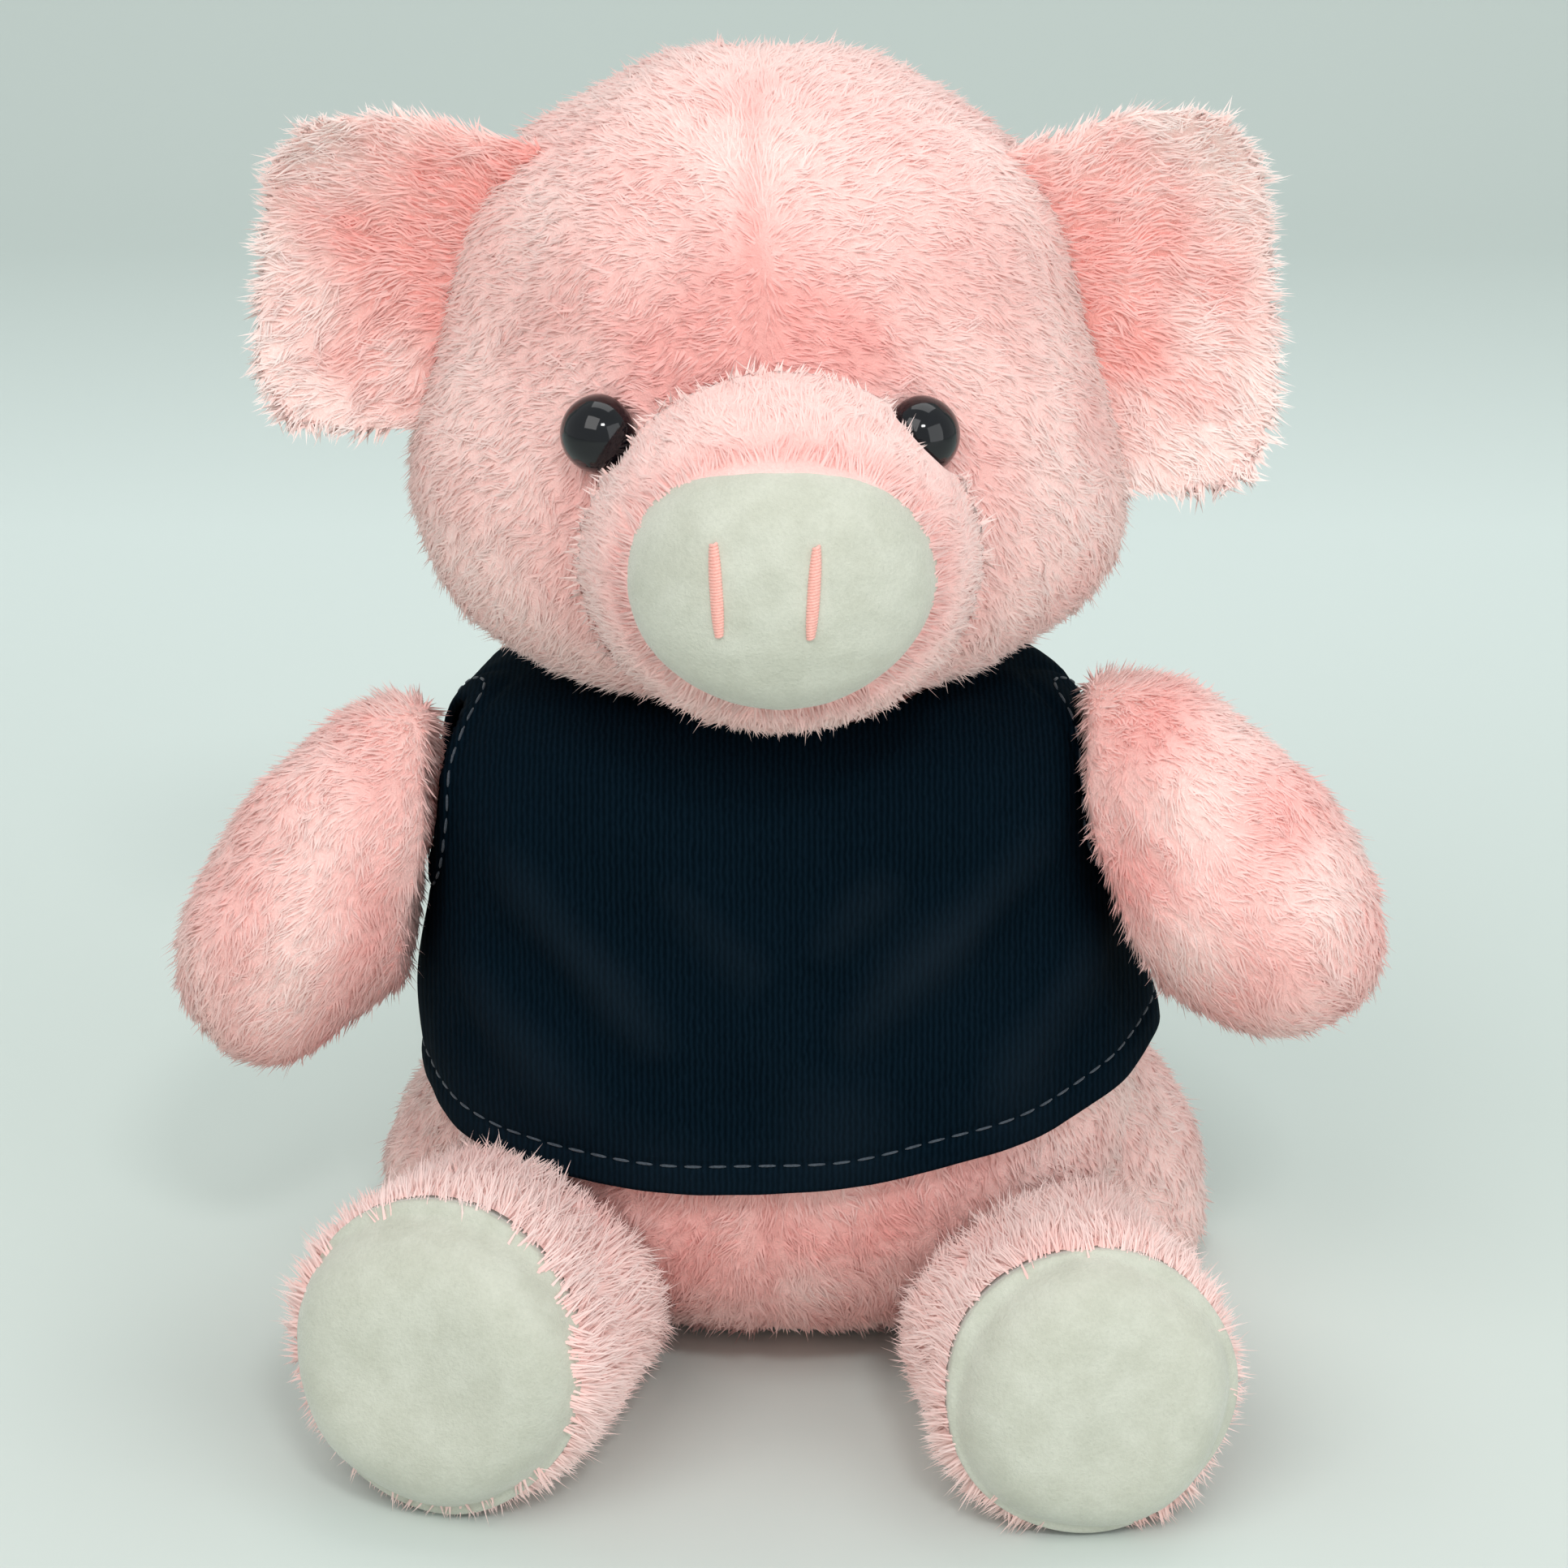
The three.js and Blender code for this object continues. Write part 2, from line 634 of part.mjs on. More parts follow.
// Vest: a shell around the body that stands off in folds, open at neck, arms and hem
function foldAt(point) {
  const reach = shoulderHeight + armholeHalfHeight - hemHeight;
  const side = Math.abs(point.x) - chest.halfWidth;
  const fromArmhole = Math.hypot(side, point.y - shoulderDepth, point.z - shoulderHeight);
  const calm = THREE.MathUtils.clamp(fromArmhole / foldStart - 1, 0, 1);
  let stand = 0;
  for (const [startSide, high, endSide, low, share] of foldShares) {
    const start = new THREE.Vector2(startSide * belly.halfWidth, hemHeight + high * reach);
    const end = new THREE.Vector2(endSide * belly.halfWidth, hemHeight + low * reach);
    const run = end.clone().sub(start);
    const here = new THREE.Vector2(point.x, point.z).sub(start);
    const along = here.dot(run) / run.lengthSq();
    const across = (here.x * run.y - here.y * run.x) / run.length();
    const fade = Math.max(1 - (2 * along - 1) ** 4, 0);
    stand += foldDepth * share * fade * Math.exp(-((across / foldWidth) ** 2));
  }
  const front = THREE.MathUtils.clamp(-point.y / foldFade, 0, 1);
  return flareAt(point) + calm * front * stand;
}

function hemCutter() {
  const shape = new THREE.Shape();
  const stepCount = 12;
  const reach = seat.halfWidth + hemFlare + foldDepth;
  shape.moveTo(-overrun, -overrun);
  shape.lineTo(overrun, -overrun);
  shape.lineTo(overrun, hemHeight + hemRise + hemTilt);
  for (let i = 0; i <= stepCount; i += 1) {
    const share = 1 - 2 * i / stepCount;
    shape.lineTo(share * reach, hemHeight + hemRise * share * share + hemTilt * share);
  }
  shape.lineTo(-overrun, hemHeight + hemRise - hemTilt);
  const block = new THREE.ExtrudeGeometry(shape, { depth: 2 * overrun, bevelEnabled: false });
  return solidOf(block.rotateX(Math.PI / 2).translate(0, overrun, 0));
}

function armholeCutter(side) {
  const tube = new THREE.CylinderGeometry(1, 1, overrun - touchGap, 20).rotateZ(Math.PI / 2);
  tube.scale(1, armholeHalfDepth, armholeHalfHeight);
  return solidOf(tube.translate(side * overrun / 2, shoulderDepth, shoulderHeight));
}

function vestSolid() {
  const inside = (point) => vestStandOff + foldAt(point);
  const outside = (point) => inside(point) + jerseyThickness;
  const cloth = solidOf(rayForm(bodyField, bodyCentre, 6, outside));
  let vest = cloth.subtract(solidOf(rayForm(bodyField, bodyCentre, 6, inside))).subtract(hemCutter());
  vest = vest.subtract(rodAlong(zAxis, neck, neckHoleRadius, overrun, 24));
  for (const leg of [legLeft, legRight]) {
    const passing = limbForm(leg, -sweepGap, 14, 10, legRoundness);
    vest = clearOf(vest, passing, legPivot(leg), xAxis, anglesBetween(-legDropDegrees, legRaiseDegrees, 3));
  }
  return vest.subtract(armholeCutter(1)).subtract(armholeCutter(-1));
}

// Tail: one curl of a thin tube behind the seat
function tailSolid() {
  const stepCount = 10;
  const middle = new THREE.Vector3(0, seat.depth, tailHeight);
  const surface = reachTo(bodyField, middle, yAxis, () => 0) + middle.y;
  const points = [new THREE.Vector3(0, surface - tailRadius, tailHeight)];
  for (let i = 0; i <= stepCount; i += 1) {
    const turned = tailTurnCount * i / stepCount;
    const angle = turned * 2 * Math.PI;
    points.push(new THREE.Vector3(
      tailCurlRadius * Math.sin(angle),
      surface + tailPitch * (1 + turned),
      tailHeight + tailCurlRadius * (1 - Math.cos(angle)),
    ));
  }
  const section = new THREE.Shape().absellipse(0, 0, tailRadius, tailRadius, 0, 2 * Math.PI);
  const extrudePath = new THREE.CatmullRomCurve3(points);
  const options = { extrudePath, steps: 14, curveSegments: 3, bevelEnabled: false };
  const tube = new THREE.ExtrudeGeometry(section, options);
  const pivot = new THREE.Vector3(0, surface, tailHeight);
  return clearOf(solidOf(tube), bodyWall, pivot, xAxis, anglesBetween(-tailFlopDegrees, tailFlopDegrees, 3));
}

// The toy, piece by piece
const pilePink = { color: 0xf0c6ba, roughness: 0.95 };
const earPink = { color: 0xee9d90, roughness: 0.95 };
const velour = { color: 0xd4d8c4, roughness: 0.9 };
const fibre = { color: 0xf4f4f0, roughness: 1 };
const jersey = { color: 0x0b1520, roughness: 0.92 };
const pinkThread = { color: 0xe6907f, roughness: 0.6 };
const whiteThread = { color: 0xe8e4dc, roughness: 0.7 };
const eyePlastic = { color: 0x121215, roughness: 0.12 };
const washerPlastic = { color: 0xe6e6e2, roughness: 0.5 };
const pouchCloth = { color: 0xdedbd2, roughness: 0.9 };

const pig = new THREE.Group();

function addPiece(name, solid, finish) {
  const material = new THREE.MeshStandardMaterial({ ...finish, metalness: 0 });
  const mesh = new THREE.Mesh(geometryOf(solid), material);
  mesh.name = name;
  pig.add(mesh);
}

addPiece('body_skin', bodySkin(), pilePink);
addPiece('body_stuffing', bodyStuffing(), fibre);
addPiece('bean_pouch', pouchSolid(0), pouchCloth);
addPiece('tail', tailSolid(), pilePink);
addPiece('neck_gather', gatherRing(), whiteThread);
addPiece('head_skin', headSkin(), pilePink);
addPiece('head_stuffing', headStuffing(), fibre);
addPiece('muzzle', muzzleSolid(), pilePink);
addPiece('snout_disc', snoutDisc(), velour);

for (const [name, side] of [['left', 1], ['right', -1]]) {
  addPiece(`nostril_${name}`, nostrilThread(side), pinkThread);
  addPiece(`eye_${name}`, eyeSolid(eyePlaces[name]), eyePlastic);
  addPiece(`eye_washer_${name}`, washerSolid(eyePlaces[name]), washerPlastic);
}

for (const [name, ear] of [['left', earLeft], ['right', earRight]]) {
  addPiece(`ear_${name}_front`, earSolid(ear, -earPanelGap / 2, -earPanelThickness), earPink);
  addPiece(`ear_${name}_back`, earSolid(ear, earPanelGap / 2, earPanelThickness), pilePink);
}

for (const [name, arm] of [['left', armLeft], ['right', armRight]]) {
  const { skin, stuffing } = armParts(arm);
  addPiece(`arm_${name}_skin`, skin, pilePink);
  addPiece(`arm_${name}_stuffing`, stuffing, fibre);
}

for (const [name, leg] of [['left', legLeft], ['right', legRight]]) {
  const { skin, stuffing } = legParts(leg);
  addPiece(`leg_${name}_skin`, skin, pilePink);
  addPiece(`leg_${name}_stuffing`, stuffing, fibre);
  addPiece(`foot_pad_${name}`, padSolid(leg), velour);
}

addPiece('vest', vestSolid(), jersey);

export default pig;
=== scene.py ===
import math

import bmesh
import bpy
import numpy as np
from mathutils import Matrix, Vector
from mathutils.bvhtree import BVHTree
from mathutils.kdtree import KDTree


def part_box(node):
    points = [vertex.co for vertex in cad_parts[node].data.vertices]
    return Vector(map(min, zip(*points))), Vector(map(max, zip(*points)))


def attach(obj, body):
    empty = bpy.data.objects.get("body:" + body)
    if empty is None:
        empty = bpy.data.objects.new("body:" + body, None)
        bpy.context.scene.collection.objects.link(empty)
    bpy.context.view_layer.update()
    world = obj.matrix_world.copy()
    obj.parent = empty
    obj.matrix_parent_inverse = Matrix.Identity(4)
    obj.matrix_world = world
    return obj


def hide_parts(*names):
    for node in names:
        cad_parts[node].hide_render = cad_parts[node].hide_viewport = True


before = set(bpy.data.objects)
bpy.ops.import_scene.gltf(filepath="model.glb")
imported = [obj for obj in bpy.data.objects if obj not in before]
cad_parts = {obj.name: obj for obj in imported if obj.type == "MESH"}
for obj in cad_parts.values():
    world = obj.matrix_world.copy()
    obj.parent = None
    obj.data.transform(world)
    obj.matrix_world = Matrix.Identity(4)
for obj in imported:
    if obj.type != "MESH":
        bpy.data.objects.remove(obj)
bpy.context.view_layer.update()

mm = 0.001
degrees = math.pi / 180
full_turn = 2 * math.pi

# Camera of the photograph
camera_pitch = 22 * degrees
camera_distance = 450 * mm
camera_target = Vector((2 * mm, -8 * mm, 72 * mm))
camera_clip_start = 10 * mm
sensor_width = 36
photo_side_px = 1932
focal_px = 4595

# Pile and the skins under it
pile_root_depth = 0.3 * mm
pile_lowest = 0.05 * mm
skin_lowest = 0.3 * mm
skin_inset = 0.9 * mm
filling_inset = 2.4 * mm
filling_lump = 0.3 * mm
seam_depth = 0.5 * mm
least_room = 0.3 * mm
least_facing_share = 0.3
ray_reach = 200 * mm

# Head, muzzle, snout and eyes
head_seam_side = -1.5 * mm
head_seam_width = 1.3 * mm
head_split = 0 * mm
eye_hollow_radius = 8 * mm
eye_hollow_depth = 1.2 * mm
forehead_height = 134 * mm
face_seam_height = 118 * mm
muzzle_crease_radius = 22.5 * mm
snout_stand = 1.5 * mm
snout_most_sag = 12 * mm
snout_flat_share = 0.07
eye_dome = 4.3 * mm
eye_radius = 4.4 * mm
eye_rim = 0.5 * mm
shank_radius = 1.3 * mm
shank_depth = 5 * mm
eye_clearing = 4.1 * mm

# Nostrils, of satin stitch
nostril_end = 0.9 * mm
nostril_half_width = 0.55 * mm
nostril_threads = 30
nostril_thread_radius = 0.22 * mm
nostril_lean = 0.06

# Ears
ear_voxel = 0.8 * mm
ear_sewn_reach = 6 * mm
ear_sewn_push = 5 * mm
ear_skin_inset = 0.3 * mm

# Body, limbs and foot pads
body_middle = Vector((2 * mm, -3 * mm, 45 * mm))
belly_seam_width = 1.1 * mm
body_pile_top = 47 * mm
sole_reach = 6 * mm
pad_stand = 0.3 * mm
pad_most_sag = 5.5 * mm
disc_thickness = 1.6 * mm

# Vest. Its armholes are smaller than the frame's, as the pile's thickness fills the rest.
hem_height = 33.5 * mm
hem_rise = 6.8 * mm
hem_tilt = 3.8 * mm
hem_half_width = 58.1 * mm
hem_flare = 1.2 * mm
neck_hole_radius = 20 * mm
shoulder_depth = -3.5 * mm
shoulder_height = 70.5 * mm
armhole_half_depth = 9 * mm
armhole_half_height = 9.4 * mm
vest_stand_off = 0.6 * mm
wale_pitch = 0.7 * mm
jersey_thickness = 0.9 * mm
stitch_inset = 3.3 * mm
stitch_pitch = 2.9 * mm
stitch_length = 2.0 * mm
stitch_radius = 0.17 * mm
stitch_groove_depth = 0.35 * mm
turned_edge = 0.3 * mm

# Tail
tail_radius = 1.7 * mm
tail_inset = 1.9 * mm
tail_turns = 1.25


# Arrays and meshes

def unit(vectors):
    """Vectors, one a row, at length 1."""
    return vectors / np.maximum(np.linalg.norm(vectors, axis=-1, keepdims=True), 1e-12)


def dot(a, b):
    """The dot product of each pair of rows, as a column."""
    return np.sum(a * b, axis=-1, keepdims=True)


def as_rows(x, y, z):
    """Vectors, one a row, from three parts, each an array or one number."""
    return np.stack(np.broadcast_arrays(x, y, z), axis=1)


def held(values):
    """Values held between 0 and 1."""
    return np.clip(values, 0, 1)


def bell(distance, width):
    """1 at no distance, fading to nothing past a width."""
    return np.exp(-(distance / width) ** 2)


def mesh_shape(mesh):
    """Points and triangles of a mesh."""
    mesh.calc_loop_triangles()
    points = np.empty(len(mesh.vertices) * 3)
    mesh.vertices.foreach_get("co", points)
    triangles = np.empty(len(mesh.loop_triangles) * 3, dtype=np.int32)
    mesh.loop_triangles.foreach_get("vertices", triangles)
    return points.reshape(-1, 3), triangles.reshape(-1, 3)


def joined(shapes):
    """Several shapes as one."""
    points, triangles, count = [], [], 0
    for own, faces in shapes:
        points.append(own)
        triangles.append(faces + count)
        count += len(own)
    return np.concatenate(points), np.concatenate(triangles)


def node_shape(*names):
    """Points and triangles of CAD nodes, taken together."""
    return joined(mesh_shape(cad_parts[name].data) for name in names)


def tree_of(points, triangles):
    """A tree for rays and nearest points."""
    return BVHTree.FromPolygons(points.tolist(), triangles.tolist())


def away_from(tree, points):
    """How far each point lies from a tree's surface."""
    return np.array([tree.find_nearest(Vector(point))[3] for point in points])


def middle_of(name):
    """The middle of a CAD node's box."""
    low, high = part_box(name)
    return (low + high) / 2


def ball(detail):
    """Points and triangles of an even ball of radius 1."""
    bm = bmesh.new()
    bmesh.ops.create_icosphere(bm, subdivisions=detail, radius=1)
    points = np.array([v.co for v in bm.verts])
    triangles = np.array([[v.index for v in f.verts] for f in bm.faces])
    bm.free()
    return points, triangles


def band(start, sides, step):
    """Triangles from a closed ring of points to the ring that lies a step further on."""
    faces = []
    for i in range(sides):
        a, b = start + i, start + (i + 1) % sides
        faces += [(a, b, b + step), (a, b + step, a + step)]
    return faces


def neighbours(triangles):
    """Each edge of a mesh once, as pairs of point numbers."""
    pairs = np.concatenate([triangles[:, [0, 1]], triangles[:, [1, 2]], triangles[:, [2, 0]]])
    return np.unique(np.sort(pairs, axis=1), axis=0)


def smoothed(values, edges, rounds, shrink=0.5, grow=-0.52):
    """Values at points, evened out along the edges without losing their bulk."""
    count = len(values)
    a, b = edges[:, 0], edges[:, 1]
    degree = np.bincount(a, minlength=count) + np.bincount(b, minlength=count)
    degree = np.maximum(degree, 1)[:, None]
    for step in range(2 * rounds):
        total = np.stack([
            np.bincount(a, values[b, k], count) + np.bincount(b, values[a, k], count)
            for k in range(values.shape[1])], axis=1)
        values = values + (shrink if step % 2 == 0 else grow) * (total / degree - values)
    return values


def face_normals(points, triangles):
    """The normal of each triangle, twice its area long."""
    corners = points[triangles]
    return np.cross(corners[:, 1] - corners[:, 0], corners[:, 2] - corners[:, 0])


def normals_of(points, triangles):
    """Outward normals at a mesh's points."""
    face = face_normals(points, triangles)
    total = np.stack([
        sum(np.bincount(triangles[:, j], face[:, k], len(points)) for j in range(3))
        for k in range(3)], axis=1)
    return unit(total)


def ripple(points, wavelength, seed, waves=9):
    """Smooth noise of about unit size with the given wavelength."""
    rng = np.random.default_rng(seed)
    vectors = unit(rng.normal(size=(waves, 3))) * (full_turn / wavelength)
    vectors *= rng.uniform(0.7, 1.4, size=(waves, 1))
    phases = rng.uniform(0, full_turn, waves)
    return np.sin(points @ vectors.T + phases).sum(axis=1) / math.sqrt(waves / 2)


def wrapped(nodes, centre, detail, inset=0.0, rounds=14):
    """A smooth closed skin round CAD nodes, found by rays towards a centre."""
    tree = tree_of(*node_shape(*nodes))
    directions, triangles = ball(detail)
    centre = Vector(centre)
    reach = np.empty(len(directions))
    for i, direction in enumerate(directions):
        outward = Vector(direction)
        place, _, _, away = tree.ray_cast(centre + outward * ray_reach, -outward)
        reach[i] = ray_reach - away if place is not None else np.nan
    reach = np.where(np.isnan(reach), np.nanmedian(reach), reach)
    points = np.array(centre) + directions * reach[:, None]
    points = smoothed(points, neighbours(triangles), rounds)
    return points - normals_of(points, triangles) * inset, triangles


def lift_off_floor(points):
    """Moves what would sink into the floor up to a skin's lowest level."""
    points[:, 2] = np.maximum(points[:, 2], skin_lowest)


def new_mesh(name, points, triangles):
    """A smooth Blender object of a triangle mesh."""
    mesh = bpy.data.meshes.new(name)
    mesh.vertices.add(len(points))
    mesh.vertices.foreach_set("co", np.asarray(points, dtype=np.float32).ravel())
    mesh.loops.add(triangles.size)
    mesh.loops.foreach_set("vertex_index", triangles.astype(np.int32).ravel())
    mesh.polygons.add(len(triangles))
    mesh.polygons.foreach_set("loop_start", np.arange(0, triangles.size, 3, dtype=np.int32))
    mesh.polygons.foreach_set("use_smooth", np.ones(len(triangles), dtype=bool))
    mesh.update(calc_edges=True)
    return linked(bpy.data.objects.new(name, mesh))


def linked(thing):
    """An object, put in the scene."""
    bpy.context.scene.collection.objects.link(thing)
    return thing


def set_values(piece, name, values):
    """A number at each point of a piece, for its material."""
    attribute = piece.data.attributes.new(name, "FLOAT", "POINT")
    attribute.data.foreach_set("value", np.asarray(values, dtype=np.float32))


def soften_normals(piece, points, triangles, soft, softness):
    """Shades locks by the skin's own normals, kept on the outer side of each face."""
    facing = unit(face_normals(points, triangles))[:, None]
    own = normals_of(points, triangles)
    blend = unit(own * (1 - softness) + soft * softness)[triangles]
    blend = unit(blend + facing * np.clip(least_facing_share - dot(blend, facing), 0, None))
    piece.data.normals_split_custom_set(blend.reshape(-1, 3).astype(np.float32))


def finish_piece(piece, material, body, slot, *replaced):
    """Gives a piece its material and body, and hides the CAD nodes it stands for. The slot is not used."""
    piece.data.materials.append(material)
    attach(piece, body)
    if replaced:
        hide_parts(*replaced)
    return piece


# Materials

black = (0, 0, 0, 1)
white = (1, 1, 1, 1)


def colour(red, green, blue):
    """A colour as seen, from 0 to 255, as the linear values that a shader takes."""
    shares = [value / 255 for value in (red, green, blue)]
    return (*[s / 12.92 if s <= 0.04045 else ((s + 0.055) / 1.055) ** 2.4 for s in shares], 1)


class Shader:
    """A short way to write a node material."""

    def __init__(self, name):
        self.material = bpy.data.materials.new(name)
        self.material.use_nodes = True
        self.tree = self.material.node_tree
        self.surface = self.tree.nodes["Principled BSDF"]

    def node(self, kind, **settings):
        made = self.tree.nodes.new(kind)
        for key, value in settings.items():
            setattr(made, key, value)
        return made

    def feed(self, socket, given):
        """Gives a socket its value, or links an output to it."""
        if isinstance(given, bpy.types.NodeSocket):
            self.tree.links.new(given, socket)
        else:
            socket.default_value = given

    def set(self, **values):
        """Gives the surface its values, by the names of its sockets."""
        for key, value in values.items():
            self.feed(self.surface.inputs[key.replace("_", " ")], value)

    def place(self, stretch=(1, 1, 1), turn=(0, 0, 0)):
        """Object coordinates, stretched and turned."""
        mapping = self.node("ShaderNodeMapping")
        mapping.inputs["Scale"].default_value = stretch
        mapping.inputs["Rotation"].default_value = turn
        where = self.node("ShaderNodeTexCoord")
        self.feed(mapping.inputs["Vector"], where.outputs["Object"])
        return mapping.outputs["Vector"]

    def noise(self, size, detail=3, roughness=0.55, vector=None):
        """Noise whose patches are about the given size in metres."""
        made = self.node("ShaderNodeTexNoise")
        made.inputs["Scale"].default_value = 1 / size
        made.inputs["Detail"].default_value = detail
        made.inputs["Roughness"].default_value = roughness
        self.feed(made.inputs["Vector"], vector if vector else self.place())
        return made.outputs["Fac"]

    def value(self, name):
        """A number that the mesh carries at its points."""
        return self.node("ShaderNodeAttribute", attribute_name=name).outputs["Fac"]

    def ramp(self, factor, stops):
        """A colour ramp over a factor, from (place, colour) stops."""
        made = self.node("ShaderNodeValToRGB")
        elements = made.color_ramp.elements
        while len(elements) < len(stops):
            elements.new(1)
        for element, (position, shade) in zip(elements, stops):
            element.position = position
            element.color = shade
        self.feed(made.inputs["Fac"], factor)
        return made.outputs["Color"]

    def mix(self, factor, a, b, blend="MIX"):
        """A blend of two colours, by a number or a factor socket."""
        made = self.node("ShaderNodeMix", data_type="RGBA", blend_type=blend)
        for socket, given in zip((0, 6, 7), (factor, a, b)):
            self.feed(made.inputs[socket], given)
        return made.outputs[2]

    def math(self, operation, a, b):
        """A sum or product of two numbers or sockets."""
        made = self.node("ShaderNodeMath", operation=operation)
        self.feed(made.inputs[0], a)
        self.feed(made.inputs[1], b)
        return made.outputs[0]

    def times(self, a, b):
        return self.math("MULTIPLY", a, b)

    def bump(self, height, strength, distance):
        made = self.node("ShaderNodeBump")
        made.inputs["Strength"].default_value = strength
        made.inputs["Distance"].default_value = distance
        self.feed(made.inputs["Height"], height)
        self.set(Normal=made.outputs["Normal"])


def pile_material(name, deep, root, middle, tip):
    """Pile that is deep at the root, pale at the tip, and deeper by its tone value, which holds painted
    shade as well as the toy's own deeper tone.
    """
    shader = Shader(name)
    along = shader.ramp(shader.value("along"), [(0, root), (0.5, middle), (1, tip)])
    toned = shader.mix(shader.value("tone"), along, deep)
    patch = shader.ramp(shader.noise(9 * mm, detail=4), [(0.4, black), (0.75, white)])
    paler = shader.mix(shader.times(patch, 0.3), toned, tip)
    darker = shader.mix(1.0, paler, middle, "MULTIPLY")
    shader.set(Base_Color=shader.mix(shader.times(shader.value("shade"), 0.35), paler, darker),
               Roughness=0.75, Sheen_Weight=0.3, Sheen_Roughness=0.4,
               Sheen_Tint=colour(255, 236, 230), Specular_IOR_Level=0.2)
    return shader.material


def ground_material(name, deep, dark, light):
    """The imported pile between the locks, which closes over the knitted backing."""
    shader = Shader(name)
    fibre = shader.noise(0.5 * mm, detail=3, roughness=0.7)
    pale = shader.ramp(fibre, [(0.35, dark), (0.65, light)])
    shader.bump(fibre, 0.7, 0.4 * mm)
    # The tone value deepens the ground: painted shade as well as the toy's own deeper tone
    shader.set(Base_Color=shader.mix(shader.value("tone"), pale, deep),
               Roughness=0.95, Sheen_Weight=0.3, Specular_IOR_Level=0.15)
    return shader.material


def velour_material(name, light, dark):
    """Short velour with faint mottling and a fine tooth."""
    shader = Shader(name)
    mottle = shader.noise(5 * mm, detail=5, roughness=0.6)
    fine = shader.noise(0.45 * mm, detail=3, roughness=0.7)
    blotch = shader.ramp(mottle, [(0.38, dark), (0.62, light)])
    speck = shader.ramp(fine, [(0.3, (0.88, 0.88, 0.88, 1)), (0.62, white)])
    shader.bump(fine, 0.6, 0.25 * mm)
    shader.set(Base_Color=shader.mix(0.6, blotch, speck, "MULTIPLY"),
               Roughness=0.9, Sheen_Weight=0.4, Sheen_Roughness=0.4, Specular_IOR_Level=0.2)
    return shader.material


def jersey_material(name):
    """Fine rib-knit jersey: wales that run up the cloth, a soft fuzz, and a painted highlight along the
    folds' ridges.
    """
    shader = Shader(name)
    wale = shader.node("ShaderNodeTexWave", wave_type="BANDS", bands_direction="X", wave_profile="SIN")
    wale.inputs["Scale"].default_value = 1 / wale_pitch / math.pi
    wale.inputs["Distortion"].default_value = 2.4
    wale.inputs["Detail"].default_value = 2
    wale.inputs["Detail Scale"].default_value = 1.4
    shader.feed(wale.inputs["Vector"], shader.place())
    course = shader.noise(0.5 * mm, detail=3, roughness=0.65, vector=shader.place((1, 1, 0.45)))
    weave = shader.math("ADD", shader.times(wale.outputs["Fac"], 0.55), shader.times(course, 0.7))
    cloth = shader.ramp(weave, [(0.3, colour(1, 9, 16)), (0.95, colour(8, 22, 32))])
    patch = shader.times(shader.noise(20 * mm, detail=3), 0.2)
    wear_and_fold_highlight = shader.mix(patch, cloth, colour(14, 32, 45))
    # Painted highlight: paler cloth where the tone value is high, on the folds' ridges and where the hem
    # flares
    wear_and_fold_highlight = shader.mix(shader.times(shader.value("tone"), 0.3), wear_and_fold_highlight, colour(34, 44, 53))
    fuzz = shader.noise(1.1 * mm, detail=4, roughness=0.8)
    lint = shader.times(shader.ramp(fuzz, [(0.66, black), (0.8, white)]), 0.06)
    shader.bump(weave, 0.4, 0.25 * mm)
    shader.set(Base_Color=shader.mix(lint, wear_and_fold_highlight, colour(52, 68, 84)),
               Roughness=0.9, Specular_IOR_Level=0.02)
    return shader.material


def thread_material(name, light, dark, roughness):
    """Twisted thread: fine slanting plies."""
    shader = Shader(name)
    ply = shader.noise(0.3 * mm, detail=2, vector=shader.place((1, 1, 2.5), (0.5, 0.4, 0)))
    shader.bump(ply, 0.5, 0.1 * mm)
    shader.set(Base_Color=shader.ramp(ply, [(0.3, dark), (0.7, light)]),
               Roughness=roughness, Sheen_Weight=0.2, Specular_IOR_Level=0.4)
    return shader.material


def eye_material(name):
    """Black polished plastic with the faintest scuffs."""
    shader = Shader(name)
    scuff = shader.noise(1.6 * mm, detail=5, roughness=0.7)
    gloss = shader.ramp(scuff, [(0.3, (0.05, 0.05, 0.05, 1)), (0.85, (0.12, 0.12, 0.12, 1))])
    shader.set(Base_Color=shader.ramp(scuff, [(0.3, colour(5, 7, 12)), (0.8, colour(12, 14, 21))]),
               Roughness=gloss, Specular_IOR_Level=0.35, Coat_Weight=0.2, Coat_Roughness=0.03)
    return shader.material


def plain_material(name, light, dark, size, roughness):
    """A soft two-tone finish, for what lies inside the toy."""
    shader = Shader(name)
    cloud = shader.noise(size, detail=5, roughness=0.65)
    shader.bump(cloud, 0.4, size / 4)
    shader.set(Base_Color=shader.mix(cloud, dark, light), Roughness=roughness, Sheen_Weight=0.15)
    return shader.material


pile_pink = pile_material(
    "pile_pink", colour(246, 177, 171), colour(253, 212, 205), colour(255, 224, 218), colour(255, 234, 229))
ear_pink = pile_material(
    "ear_pink", colour(249, 168, 160), colour(254, 218, 211), colour(255, 233, 227), colour(255, 246, 242))
ground_pink = ground_material(
    "ground_pink", colour(240, 170, 163), colour(249, 203, 196), colour(254, 218, 211))
ground_ear = ground_material(
    "ground_ear", colour(244, 162, 153), colour(250, 211, 203), colour(255, 228, 221))
velour_cream = velour_material("velour_cream", colour(204, 205, 191), colour(195, 196, 181))
jersey_navy = jersey_material("jersey_navy")
thread_grey = thread_material("thread_grey", colour(74, 84, 94), colour(40, 50, 60), 0.7)
thread_pink = thread_material("thread_pink", colour(250, 192, 180), colour(238, 168, 156), 0.5)
thread_white = thread_material("thread_white", colour(236, 232, 222), colour(205, 200, 190), 0.7)
eye_black = eye_material("eye_black")
